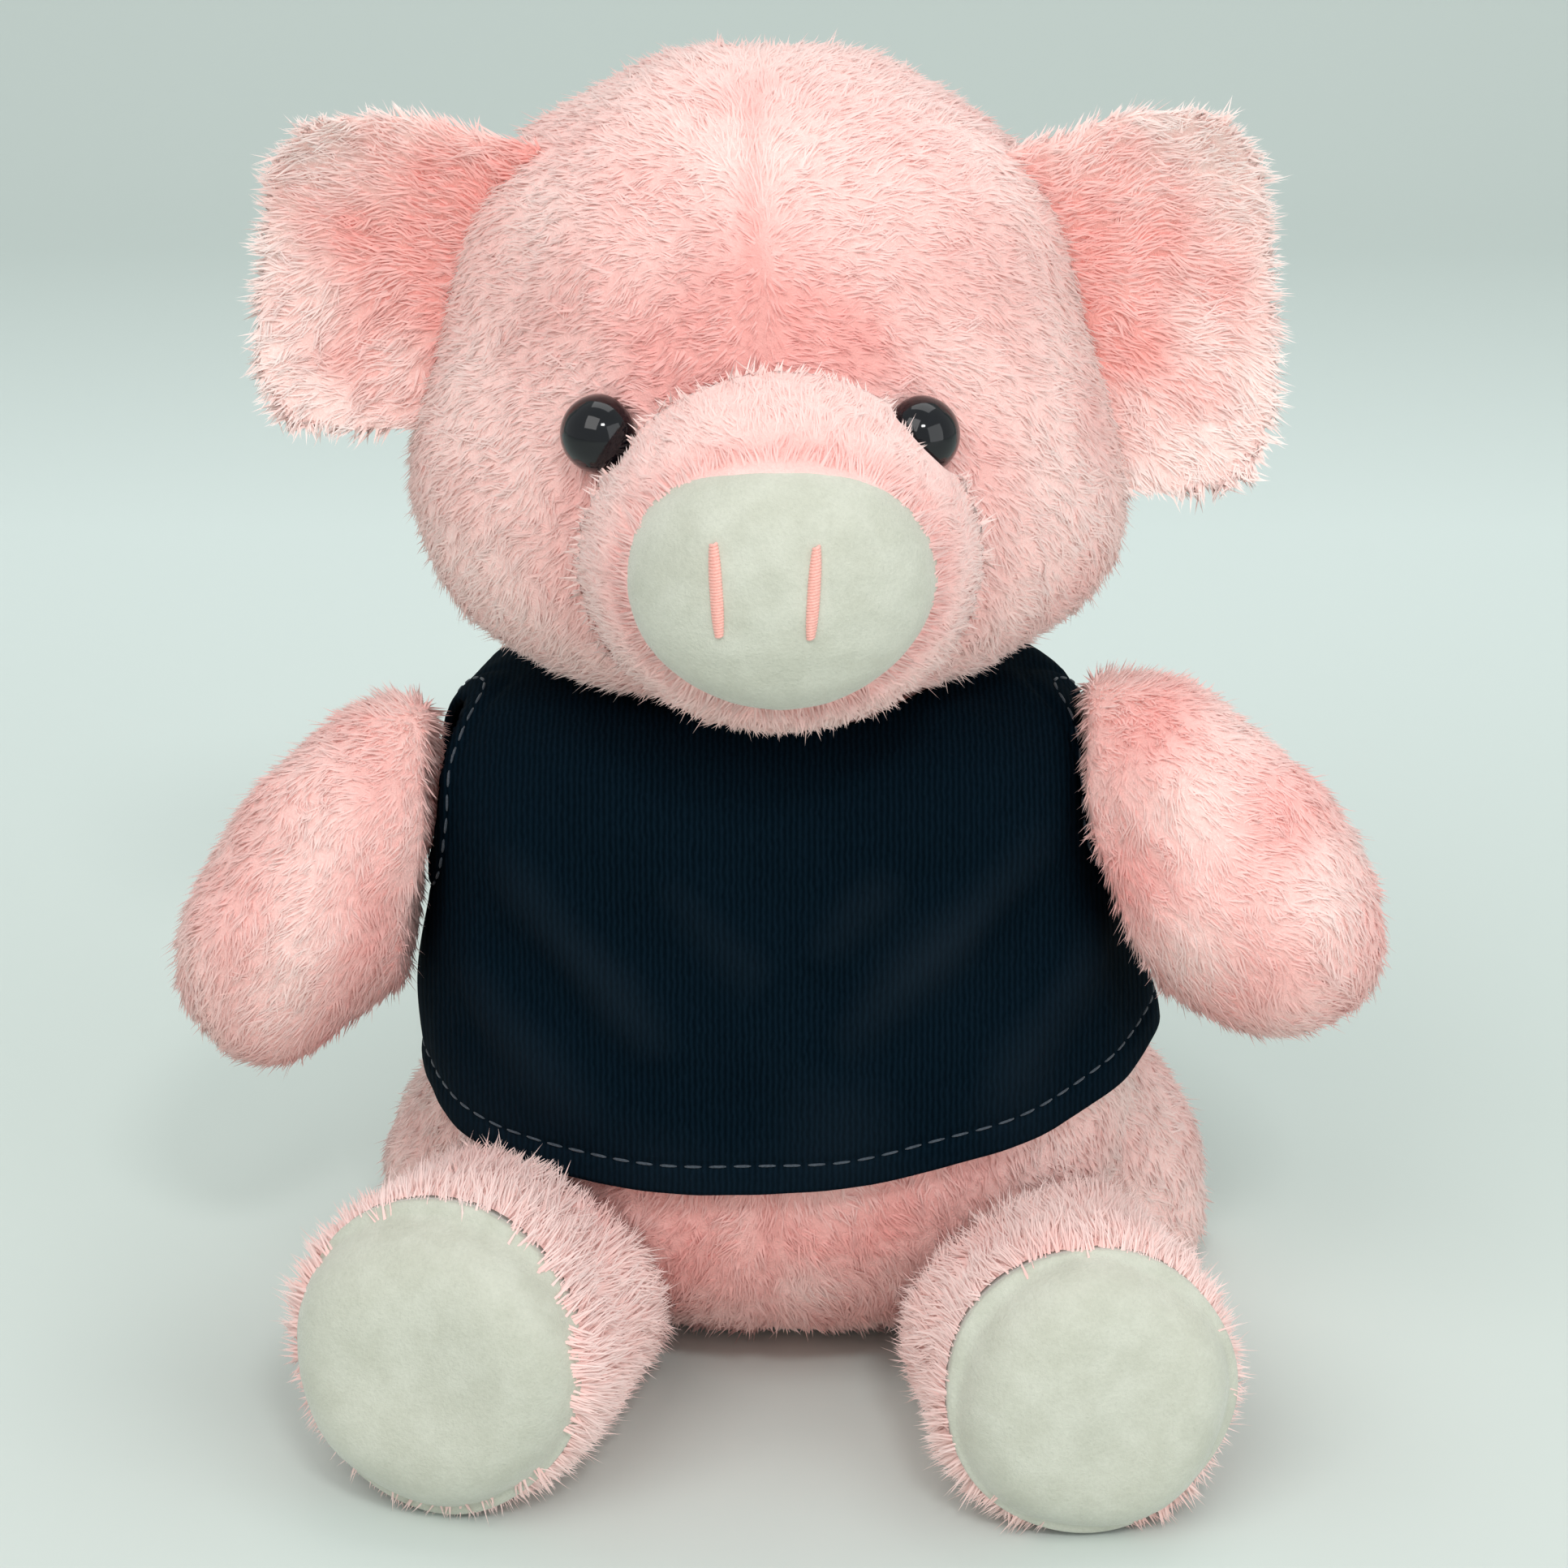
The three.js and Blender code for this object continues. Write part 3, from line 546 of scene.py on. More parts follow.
washer_white = plain_material("washer_white", colour(236, 236, 230), colour(218, 218, 212), 2 * mm, 0.5)
fibre_fill = plain_material("fibre_fill", colour(246, 246, 242), colour(226, 226, 222), 3 * mm, 0.95)
pouch_cloth = plain_material("pouch_cloth", colour(224, 220, 208), colour(204, 199, 186), 1.2 * mm, 0.9)


# Pile made of locks: each has three sides, a pointed tip and a cap in the skin

lock_sides = 3
lock_tip = lock_sides
lock_points = lock_sides + 1
lock_faces = np.array([(1, 0, lock_tip), (2, 1, lock_tip), (0, 2, lock_tip), (0, 1, 2)])
map_margin = 0.12
locks_a_clump = 7

# Angles are in degrees. Uneven, patchy and curl are shares of a lock's length, and clumping
# is a share of the way to the middle of a clump.
lock_style = {
    "per_area": 4.4 / mm ** 2, "length": 2.3 * mm, "width": 0.46 * mm, "flatness": 0.7,
    "lean": 69, "lean_spread": 7, "clump_lean": 5, "bend": 3,
    "swirl": 16, "swirl_size": 8 * mm, "stray": 9, "clump_turn": 18,
    "uneven": 0.15, "patchy": 0.12, "loose_share": 0.03, "loose_lean_share": 0.6,
    "curl": 0.1, "curl_turns": 0.8, "clumping": 0.5, "softness": 0.75, "faces": (0, 0, 0),
}


def lock_map(count):
    """Places in a square map for each corner of each lock, a small cell for each lock."""
    columns = math.ceil(math.sqrt(count))
    cell = np.arange(count)
    corner = np.stack([cell % columns, cell // columns], axis=1) / columns
    first = lock_faces[:, :1] % lock_sides
    across = ((lock_faces % lock_sides - first) % lock_sides + first) / lock_sides
    across = np.where(lock_faces == lock_tip, (first + 0.5) / lock_sides, across)
    local = np.stack([across, lock_faces // lock_sides], axis=-1) * (1 - 2 * map_margin) + map_margin
    return corner[:, None, None, :] + held(local)[None] / columns


def scattered(points, triangles, per_area, keep, rng):
    """Roots spread evenly over a skin, with their normals."""
    corners = points[triangles]
    face = face_normals(points, triangles)
    weight = np.linalg.norm(face, axis=1) / 2 * held(keep(corners.mean(axis=1), unit(face)))
    total = np.cumsum(weight)
    count = int(total[-1] * per_area)
    picked = np.searchsorted(total, (np.arange(count) + rng.random(count)) * total[-1] / count)
    picked = np.minimum(picked, len(triangles) - 1)
    a, b = rng.random(count), rng.random(count)
    over = a + b > 1
    a, b = np.where(over, 1 - a, a)[:, None], np.where(over, 1 - b, b)[:, None]
    normals = normals_of(points, triangles)[triangles[picked]]
    roots = corners[picked, 0] * (1 - a - b) + corners[picked, 1] * a + corners[picked, 2] * b
    lift = unit(normals[:, 0] * (1 - a - b) + normals[:, 1] * a + normals[:, 2] * b)
    return roots, lift


def room_above(roots, normals, blockers, most):
    """How far each root may rise before it meets a neighbour."""
    room = np.full(len(roots), most)
    for i, (root, normal) in enumerate(zip(roots, normals)):
        start, way = Vector(root), Vector(normal)
        for tree in blockers:
            away = tree.ray_cast(start, way, most)[3]
            if away is not None and away < room[i]:
                room[i] = away
    return room


def clumps_of(roots):
    """The clump that each root belongs to, and the way from the root to its middle."""
    heads = roots[::locks_a_clump]
    tree = KDTree(len(heads))
    for i, head in enumerate(heads):
        tree.insert(head, i)
    tree.balance()
    nearest = np.array([tree.find(root)[1] for root in roots])
    return nearest, heads[nearest] - roots


def nowhere(points, normals):
    return np.zeros(len(points))


def everywhere(points, normals):
    return np.ones(len(points))


def pile(name, skin, body, comb, keep, seed, blockers=(), tone=nowhere, rise=everywhere,
         material=pile_pink, slot="pile_pink", **changes):
    """Locks of pile over a skin, combed, clumped and curled as the changed style says."""
    style = {**lock_style, **changes}
    rng = np.random.default_rng(seed)
    roots, normals = scattered(*skin, style["per_area"], keep, rng)
    room = room_above(roots, normals, blockers, style["length"] * 1.6)
    free = room > least_room
    roots, normals, room = roots[free], normals[free], room[free]
    count = len(roots)
    clump, pull = clumps_of(roots)
    clump_count = clump.max() + 1
    clump_shade = rng.random(clump_count)[clump]

    def spread_of(single, by_clump):
        """A random number for each lock, the sum of its own and its clump's."""
        own = style[single] * rng.normal(size=count)
        return own + style[by_clump] * rng.normal(size=clump_count)[clump]

    way = comb(roots, normals)
    way = unit(way - normals * dot(way, normals))
    side = np.cross(normals, way)
    swirl = (style["swirl"] * ripple(roots, style["swirl_size"], seed + 1)
             + style["clump_turn"] * rng.normal(size=clump_count)[clump]
             + style["stray"] * rng.normal(size=count))[:, None] * degrees
    way, side = way * np.cos(swirl) + side * np.sin(swirl), side * np.cos(swirl) - way * np.sin(swirl)
    loose = rng.random(count) < style["loose_share"]
    uneven = 1 + 0.15 * loose + spread_of("uneven", "patchy")
    length = style["length"] * np.clip(uneven, 0.4, 1.6)
    lean = style["lean"] * rise(roots, normals) + spread_of("lean_spread", "clump_lean")
    lean = np.clip(np.where(loose, lean * style["loose_lean_share"], lean), 5, 86)
    flatter = np.clip(room / (length * 0.75), 0.1, 1)
    lean = ((90 - (90 - lean) * flatter + style["bend"]) * degrees)[:, None]
    wave = rng.uniform(0, full_turn, clump_count)[clump] + rng.normal(size=count) * 0.5
    curl = style["curl"] * np.sin(wave + style["curl_turns"] * full_turn)[:, None]
    base = roots - normals * pile_root_depth
    tip = base + length[:, None] * (normals * np.cos(lean) + way * np.sin(lean) + side * curl)
    tip += pull * np.where(loose, 0, style["clumping"])[:, None]
    width = style["width"] * rng.uniform(0.7, 1.3, count) / 2 * np.where(loose, 0.6, 1)
    across = unit(np.cross(tip - base, normals))
    upward = np.cross(across, unit(tip - base))
    spin = rng.uniform(0, full_turn, count)
    points = np.empty((count, lock_points, 3))
    for corner in range(lock_sides):
        angle = (spin + corner * full_turn / lock_sides)[:, None]
        spread = across * np.cos(angle) + upward * np.sin(angle) * style["flatness"]
        points[:, corner] = base + spread * width[:, None]
    points[:, lock_tip] = tip
    points[:, :, 2] = np.maximum(points[:, :, 2], pile_lowest)
    points = points.reshape(-1, 3)
    triangles = (lock_faces[None] + np.arange(count)[:, None, None] * lock_points).reshape(-1, 3)
    piece = new_mesh(name, points, triangles)
    set_values(piece, "along", np.tile(np.arange(lock_points) == lock_tip, count))
    set_values(piece, "shade", np.repeat((clump_shade + rng.random(count)) / 2, lock_points))
    set_values(piece, "tone", np.repeat(tone(roots, normals), lock_points))
    layer = piece.data.uv_layers.new(name="OFBake")
    layer.data.foreach_set("uv", lock_map(count).astype(np.float32).ravel())
    soft = np.repeat(unit(normals + np.array(style["faces"])), lock_points, axis=0)
    soften_normals(piece, points, triangles, soft, style["softness"])
    finish_piece(piece, material, body, slot)


# The stuffed pieces' skins and fillings

def skin_piece(name, skin, body, node, tone):
    """A stuffed skin under its pile."""
    piece = new_mesh(f"{name}_skin_pile", *skin)
    set_values(piece, "tone", tone(skin[0], normals_of(*skin)))
    finish_piece(piece, ground_pink, body, "pile_pink", node)


def stuffed_piece(name, skin, body, tone):
    """A stuffed skin under its pile, with the fibre inside it."""
    skin_piece(name, skin, body, f"{name}_skin", tone)
    points, triangles = skin
    inner = points - normals_of(points, triangles) * filling_inset
    filling = f"{name}_filling"
    cloud = ripple(inner, 9 * mm, len(filling)) * filling_lump
    piece = new_mesh(filling, inner + normals_of(inner, triangles) * cloud[:, None], triangles)
    finish_piece(piece, fibre_fill, body, "fibre_fill", f"{name}_stuffing")


# Head

eye_sides = {"left": 1, "right": -1}
head_middle = np.array(middle_of("head_skin"))
muzzle_middle = np.array(middle_of("muzzle"))


def eye_line(name):
    """The front and the direction of an eye, from its CAD solid."""
    points, _ = node_shape(f"eye_{name}")
    order = np.argsort(np.linalg.norm(points - head_middle, axis=1))
    shank_end = points[order[:8]].mean(axis=0)
    front = points[order[-1]]
    return front, unit(front - shank_end)


eye_lines = {name: eye_line(name) for name in eye_sides}


def head_shape():
    """The head with its centre seam and eye hollows."""
    points, triangles = wrapped(["head_skin", "head_stuffing"], head_middle, 6, skin_inset)
    normals = normals_of(points, triangles)
    front = held(-normals[:, 1] + 0.6)
    seam = bell(points[:, 0] - head_seam_side, head_seam_width) * front * seam_depth
    hollow = np.zeros(len(points))
    for place, _ in eye_lines.values():
        hollow += bell(np.linalg.norm(points - place, axis=1), eye_hollow_radius) * eye_hollow_depth
    lumps = ripple(points, 26 * mm, 3) * 0.35 * mm
    return points + normals * (lumps - seam - hollow)[:, None], triangles


def head_comb(points, normals):
    """Out and down over the sides, back over the crown, up and away beside the seam."""
    x, y, z = points.T
    side = x - head_seam_side
    high = np.clip((z - head_middle[2]) / (30 * mm), -1, 1)
    back = 0.5 + 0.5 * np.clip(y / (20 * mm), -1, 1)
    down = -0.55 - 0.5 * (high < 0) - 0.6 * back
    return as_rows(np.tanh(side / (6 * mm)), 0.35 + 0.5 * high, down + 0.25 * bell(side, 10 * mm))


def off_eyes(points):
    """0 under an eye and 1 away from it."""
    clear = np.ones(len(points))
    for place, axis in eye_lines.values():
        off = points - place
        beside = np.linalg.norm(off - axis * dot(off, axis), axis=1)
        clear = np.minimum(clear, held((beside - eye_clearing) / (0.4 * mm)))
    return clear


def head_tone_and_shade(points, normals):
    """Deeper pink on the forehead, and painted shade in the crease round the muzzle."""
    x, _, z = points.T
    side = x - head_seam_side
    forehead = bell(side, 21 * mm) * bell(z - forehead_height, 12 * mm)
    ring = np.hypot(x - muzzle_middle[0], z - muzzle_middle[2])
    crease = bell(ring - muzzle_crease_radius, 4 * mm)
    seam = bell(side, 1.1 * mm) * held((z - face_seam_height) / (10 * mm))
    front = held(-normals[:, 1] * 1.5)
    cloud = 0.1 + 0.1 * ripple(points, 15 * mm, 7)
    return np.clip(cloud + front * (0.75 * forehead + 0.35 * crease + 0.35 * seam), 0, 0.95)


def head_front_keep(points, normals):
    return off_eyes(points) * (points[:, 1] < head_split)


def head_back_keep(points, normals):
    return (points[:, 1] >= head_split) * np.where(normals[:, 2] > -0.8, 1, 0.4)


head = head_shape()
head_tree = tree_of(*head)
muzzle_tree = tree_of(*node_shape("muzzle"))
vest_tree = tree_of(*node_shape("vest"))

stuffed_piece("head", head, "head", head_tone_and_shade)
pile("head_pile_front", head, "head", head_comb, head_front_keep, 11, [muzzle_tree], head_tone_and_shade)
pile("head_pile_back", head, "head", head_comb, head_back_keep, 12, (), head_tone_and_shade,
     per_area=3.2 / mm ** 2, width=0.55 * mm)


# Muzzle

snout_low, snout_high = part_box("snout_disc")
snout_middle = np.array(middle_of("snout_disc"))
snout_half_width = (snout_high.x - snout_low.x) / 2
snout_half_height = (snout_high.z - snout_low.z) / 2


def snout_ring(points):
    """How far out a point lies, as a share of the snout's outline."""
    return np.hypot((points[:, 0] - snout_middle[0]) / snout_half_width,
                    (points[:, 2] - snout_middle[2]) / snout_half_height)


def muzzle_shape():
    """The muzzle, drawn in along the seam round the snout."""
    points, triangles = wrapped(["muzzle"], muzzle_middle, 6, skin_inset, 10)
    front = points[:, 1] < muzzle_middle[1]
    crease = bell(snout_ring(points) - 1.03, 0.06) * front * seam_depth
    return points - normals_of(points, triangles) * crease[:, None], triangles


def muzzle_comb(points, normals):
    """Back from the snout on every side."""
    off = points - snout_middle
    return as_rows(off[:, 0] * 0.6, 22 * mm, off[:, 2] * 0.6)


def muzzle_keep(points, normals):
    """Pile outside the snout disc, and none where the head is."""
    inside_disc = (snout_ring(points) < 0.96) & (points[:, 1] < muzzle_middle[1])
    return ~inside_disc * (normals[:, 1] < 0.3) * off_eyes(points)


def muzzle_tone_and_shade(points, normals):
    """Painted shade beside the snout's seam and darker towards the muzzle's lower side, over a faint random
    tone.
    """
    beside = bell(snout_ring(points) - 1.02, 0.1)
    low = held((muzzle_middle[2] - points[:, 2]) / (20 * mm))
    return np.clip(0.05 + 0.4 * beside + 0.15 * low + 0.05 * ripple(points, 12 * mm, 9), 0, 0.8)


def muzzle_rise(points, normals):
    """How far the pile leans, as a share: it is ruffled up beside the snout."""
    return 1 - 0.45 * bell(snout_ring(points) - 1, 0.07)


muzzle = muzzle_shape()
skin_piece("muzzle", muzzle, "head", "muzzle", muzzle_tone_and_shade)
pile("muzzle_pile", muzzle, "head", muzzle_comb, muzzle_keep, 21, (), muzzle_tone_and_shade, muzzle_rise,
     length=2.0 * mm, clump_turn=14)


# Snout disc and nostrils

def disc_shape(tree, centre, axis, half_width, half_height, stand, most_sag, flat_share=0.0):
    """A domed cloth disc lying on a surface, somewhat flatter along its top."""
    rings, around = 26, 96
    axis = np.array(axis)
    across = unit(np.cross((0, 0, 1), axis))
    upward = np.cross(axis, across)
    places = [(0.0, 0.0)]
    for ring in range(1, rings + 1):
        share = math.sin(ring / rings * math.pi / 2)
        places += [(share, full_turn * i / around) for i in range(around)]
    front = []
    level = 0.0
    for share, angle in places:
        flat = 1 - flat_share * max(math.sin(angle), 0) ** 3
        out = share * (1 + 0.011 * math.sin(3 * angle + 1) + 0.008 * math.sin(5 * angle + 2))
        flat_place = (np.array(centre) + across * half_width * out * math.cos(angle)
                      + upward * half_height * out * math.sin(angle) * flat)
        hit = tree.ray_cast(Vector(flat_place + axis * ray_reach), Vector(-axis))[0]
        if hit is not None:
            level = (np.array(hit) - flat_place) @ axis
        if not front:
            crest = level
        level = max(level, crest - most_sag)
        rise = stand * (1.25 * math.sqrt(max(1 - share ** 6, 0)) - 0.25)
        front.append(flat_place + axis * (level + rise))
    front = np.array(front)
    faces = [(0, 1 + (i + 1) % around, 1 + i) for i in range(around)]
    for ring in range(rings - 1):
        faces += band(1 + ring * around, around, around)
    faces = np.array(faces)
    rim = band(1 + (rings - 1) * around, around, len(front))
    shape = np.concatenate([front, front - axis * disc_thickness])
    triangles = np.concatenate([faces, faces[:, ::-1] + len(front), np.array(rim)])
    outward = normals_of(shape, triangles)[0] @ axis > 0
    return shape, triangles if outward else triangles[:, ::-1]


def tube(route, radius, sides):
    """Points and triangles of a closed tube along a route, with one radius or one a point."""
    route = np.array(route)
    along = unit(np.gradient(route, axis=0))
    across = unit(np.cross(along, (0.31, 0.52, 0.79)))
    upward = np.cross(across, along)
    radii = np.broadcast_to(radius, len(route))[:, None, None]
    angles = (full_turn * np.arange(sides) / sides)[None, :, None]
    rings = route[:, None] + (across[:, None] * np.cos(angles) + upward[:, None] * np.sin(angles)) * radii
    points = np.concatenate([rings.reshape(-1, 3), route[:1], route[-1:]])
    last = (len(route) - 1) * sides
    start_middle, end_middle = len(route) * sides, len(route) * sides + 1
    faces = []
    for start in range(0, last, sides):
        faces += band(start, sides, sides)
    for j in range(sides):
        faces.append((start_middle, (j + 1) % sides, j))
        faces.append((end_middle, last + j, last + (j + 1) % sides))
    return points, np.array(faces)[:, ::-1]


snout_shape = disc_shape(tree_of(*muzzle), snout_middle, (0, -1, 0), snout_half_width,
                         snout_half_height, skin_inset + snout_stand, snout_most_sag, snout_flat_share)
finish_piece(new_mesh("snout_velour", *snout_shape), velour_cream, "head", "velour_cream", "snout_disc")


def nostril_piece(name):
    """Satin stitch: short threads side by side across the nostril line."""
    tree = tree_of(*snout_shape)
    low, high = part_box(f"nostril_{name}")
    middle = (low + high) / 2
    half = (high.z - low.z) / 2 - nostril_end
    threads = []
    for share in np.linspace(-1, 1, nostril_threads):
        width = nostril_half_width * (1 - 0.45 * abs(share) ** 3)
        x = middle.x + nostril_lean * eye_sides[name] * half * share
        z = middle.z + half * share
        route = []
        for angle in np.linspace(-math.pi / 2, math.pi / 2, 7):
            across, deep = math.sin(angle), math.cos(angle)
            place = tree.ray_cast(Vector((x + width * across, -ray_reach, z)), Vector((0, 1, 0)))[0]
            lift = 0.15 * mm - 0.5 * mm * deep
            route.append((place.x, place.y + lift, z + 0.12 * mm * across))
        threads.append(tube(route, nostril_thread_radius, 6))
    piece = new_mesh(f"nostril_{name}_stitches", *joined(threads))
    finish_piece(piece, thread_pink, "head", "thread_pink", f"nostril_{name}")


# Eyes

def eye_piece(name):
    """A button eye: a polished dome with a small rolled edge, on its shank."""
    front, axis = eye_lines[name]
    quarter = [i / 16 * math.pi / 2 for i in range(1, 17)]
    profile = [(0.0, eye_dome)]
    profile += [(eye_radius * math.sin(angle), eye_dome * math.cos(angle)) for angle in quarter]
    profile += [(eye_radius, -eye_rim), (eye_radius * 0.9, -1.1 * mm), (shank_radius, -1.2 * mm),
                (shank_radius, -shank_depth), (0.0, -shank_depth)]
    sides = 48
    aim = Vector((0, 0, 1)).rotation_difference(Vector(axis)).to_matrix()
    base = Vector(front - axis * eye_dome)
    bm = bmesh.new()
    rows = []
    for radius, height in profile:
        turns = [full_turn * i / sides for i in range(sides)]
        ring = [Vector((radius * math.cos(turn), radius * math.sin(turn), height)) for turn in turns]
        rows.append([bm.verts.new(aim @ place + base) for place in ring])
    for upper, lower in zip(rows, rows[1:]):
        for i in range(sides):
            following = (i + 1) % sides
            bm.faces.new([upper[i], lower[i], lower[following], upper[following]])
    bmesh.ops.remove_doubles(bm, verts=bm.verts, dist=0.001 * mm)
    bmesh.ops.recalc_face_normals(bm, faces=bm.faces)
    mesh = bpy.data.meshes.new(f"eye_{name}_button")
    bm.to_mesh(mesh)
    bm.free()
    mesh.polygons.foreach_set("use_smooth", np.ones(len(mesh.polygons), dtype=bool))
    piece = linked(bpy.data.objects.new(mesh.name, mesh))
    finish_piece(piece, eye_black, "head", "eye_black", f"eye_{name}")


# Ears: each made of a lining and a back, rounded from the two CAD panels

lining_style = {"length": 2.8 * mm, "lean": 64, "clump_turn": 16, "faces": (0, -0.9, 0.5)}
ear_back_style = {"faces": (0, 0, 0.5)}


def ear_shape(name):
    """The ear as one smooth closed form, sewn a little way into the head."""
    shape = new_mesh("ear_form", *node_shape(f"ear_{name}_front", f"ear_{name}_back"))
    remesh = shape.modifiers.new("remesh", "REMESH")
    remesh.mode = "VOXEL"
    remesh.voxel_size = ear_voxel
    evaluated = shape.evaluated_get(bpy.context.evaluated_depsgraph_get())
    mesh = bpy.data.meshes.new_from_object(evaluated)
    points, faces = mesh_shape(mesh)
    bpy.data.objects.remove(shape)
    bpy.data.meshes.remove(mesh)
    points = smoothed(points, neighbours(faces), 6)
    sewn = held(1 - away_from(head_tree, points) / ear_sewn_reach) ** 0.7
    points[:, 0] -= eye_sides[name] * sewn * ear_sewn_push
    return points, faces


def ear_pieces(name):
    """The two panels of an ear, each with its pile."""
    side = eye_sides[name]
    points, triangles = ear_shape(name)
    normals = normals_of(points, triangles)
    middles = points[triangles].mean(axis=1)
    from_front, from_back = (
        away_from(tree_of(*node_shape(f"ear_{name}_{part}")), middles) for part in ("front", "back"))
    is_front = from_front < from_back
    low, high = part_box(f"ear_{name}_back")
    centre_height = (low.z + high.z) / 2
    root = low.x if side > 0 else high.x

    def out_share(at):
        return held((at[:, 0] - root) * side / (high.x - low.x))

    def comb(at, up):
        rise = (at[:, 2] - centre_height) / (20 * mm)
        return as_rows(float(side), -0.1, rise * (0.9 + 0.6 * out_share(at)))

    def lining_tone(at, up):
        rise = (at[:, 2] - centre_height) / (21 * mm)
        deep = 1.0 - 1.05 * out_share(at) ** 2 - 0.9 * np.abs(rise) ** 3 - 0.15 * held(-rise)
        return np.clip(deep + 0.12 * ripple(at, 9 * mm, 8), 0, 0.85)

    def back_tone(at, up):
        return held(0.25 - 0.5 * out_share(at))

    panels = (("front", is_front, ground_ear, "ear_lining", lining_tone, 36, lining_style),
              ("back", ~is_front, ground_pink, "pile_pink", back_tone, 31, ear_back_style))
    for part, is_part, ground, slot, tone, seed, style in panels:
        used, faces = np.unique(triangles[is_part], return_inverse=True)
        shape = (points[used] - normals[used] * ear_skin_inset, faces.reshape(-1, 3))
        panel = f"ear_{name}_{part}"
        piece = new_mesh(f"{panel}_skin", *shape)
        set_values(piece, "tone", tone(shape[0], normals[used]))
        finish_piece(piece, ground, f"ear_{name}", slot, panel)
        pile(f"{panel}_pile", shape, f"ear_{name}", comb, everywhere, seed + side, [head_tree], tone,
             material=ear_pink, slot=slot, **style)


for name in eye_sides:
    nostril_piece(name)
for name in eye_sides:
    eye_piece(name)
for name in eye_sides:
    ear_pieces(name)


# Body

body_form = wrapped(["body_skin", "body_stuffing"], body_middle, 6)


def body_shape():
    """The body's skin under its pile, with the belly seam."""
    points, triangles = body_form
    normals = normals_of(points, triangles)
    seam = bell(points[:, 0], belly_seam_width) * (normals[:, 1] < 0) * seam_depth
    points = points - normals * (skin_inset + seam)[:, None]
    lift_off_floor(points)
    return points, triangles


def body_tone_and_shade(points, normals):
    """Painted shade over the belly between the legs, which leaves the hips paler; a deeper line on the seam
    and a random tone.
    """
    ahead = held(-normals[:, 1] * 2)
    seam = bell(points[:, 0], belly_seam_width) * ahead
    between = np.exp(-(points[:, 0] / (26 * mm)) ** 4) * ahead
    return held(0.12 + 0.66 * between + 0.2 * seam + 0.14 * ripple(points, 14 * mm, 6))


def body_comb(points, normals):
    """Down, and out from the seam."""
    return as_rows(np.tanh(points[:, 0] / (4 * mm)) * 0.5, 0, -1)


def body_keep(points, normals):
    """Pile below the vest, and none on the seat."""
    return (points[:, 2] < body_pile_top) * (normals[:, 2] > -0.8)


body_skin = body_shape()
body_tree = tree_of(*body_skin)
limb_trees = [tree_of(*node_shape(f"{kind}_{name}_skin")) for kind in ("arm", "leg") for name in eye_sides]

stuffed_piece("body", body_skin, "torso", body_tone_and_shade)
pile("body_pile", body_skin, "torso", body_comb, body_keep, 41, [vest_tree, *limb_trees], body_tone_and_shade,
     per_area=3.7 / mm ** 2, width=0.5 * mm)


# Arms and legs, each with the two ends of its middle line in mm, and foot pads

limb_ends = {
    ("arm", "left"): ((36, -3, 82), (68, -32, 52.5)),
    ("arm", "right"): ((-38, -3, 80.5), (-67, -19, 42)),
    ("leg", "left"): ((31, -12, 8), (37.8, -63.5, 18.6)),
    ("leg", "right"): ((-25, -12, 12), (-39.5, -60, 20.6)),
}
pad_half_sizes = {"left": (16.9 * mm, 16.9 * mm), "right": (17.5 * mm, 19.0 * mm)}
limb_styles = {
    "arm": {"length": 2.4 * mm, "swirl": 18, "clump_turn": 16},
    "leg": {"length": 3.4 * mm, "lean": 62, "swirl": 14, "clump_turn": 16, "softness": 0.85,
            "faces": (0, -0.4, 0.4)},
}


def limb_shape(limb, middle):
    """A limb's smooth skin, with soft lumps of its filling."""
    points, triangles = wrapped([f"{limb}_skin", f"{limb}_stuffing"], middle, 5, skin_inset, 10)
    lumps = ripple(points, 17 * mm, 13) * 0.3 * mm
    points = points + normals_of(points, triangles) * lumps[:, None]
    lift_off_floor(points)
    return points, triangles


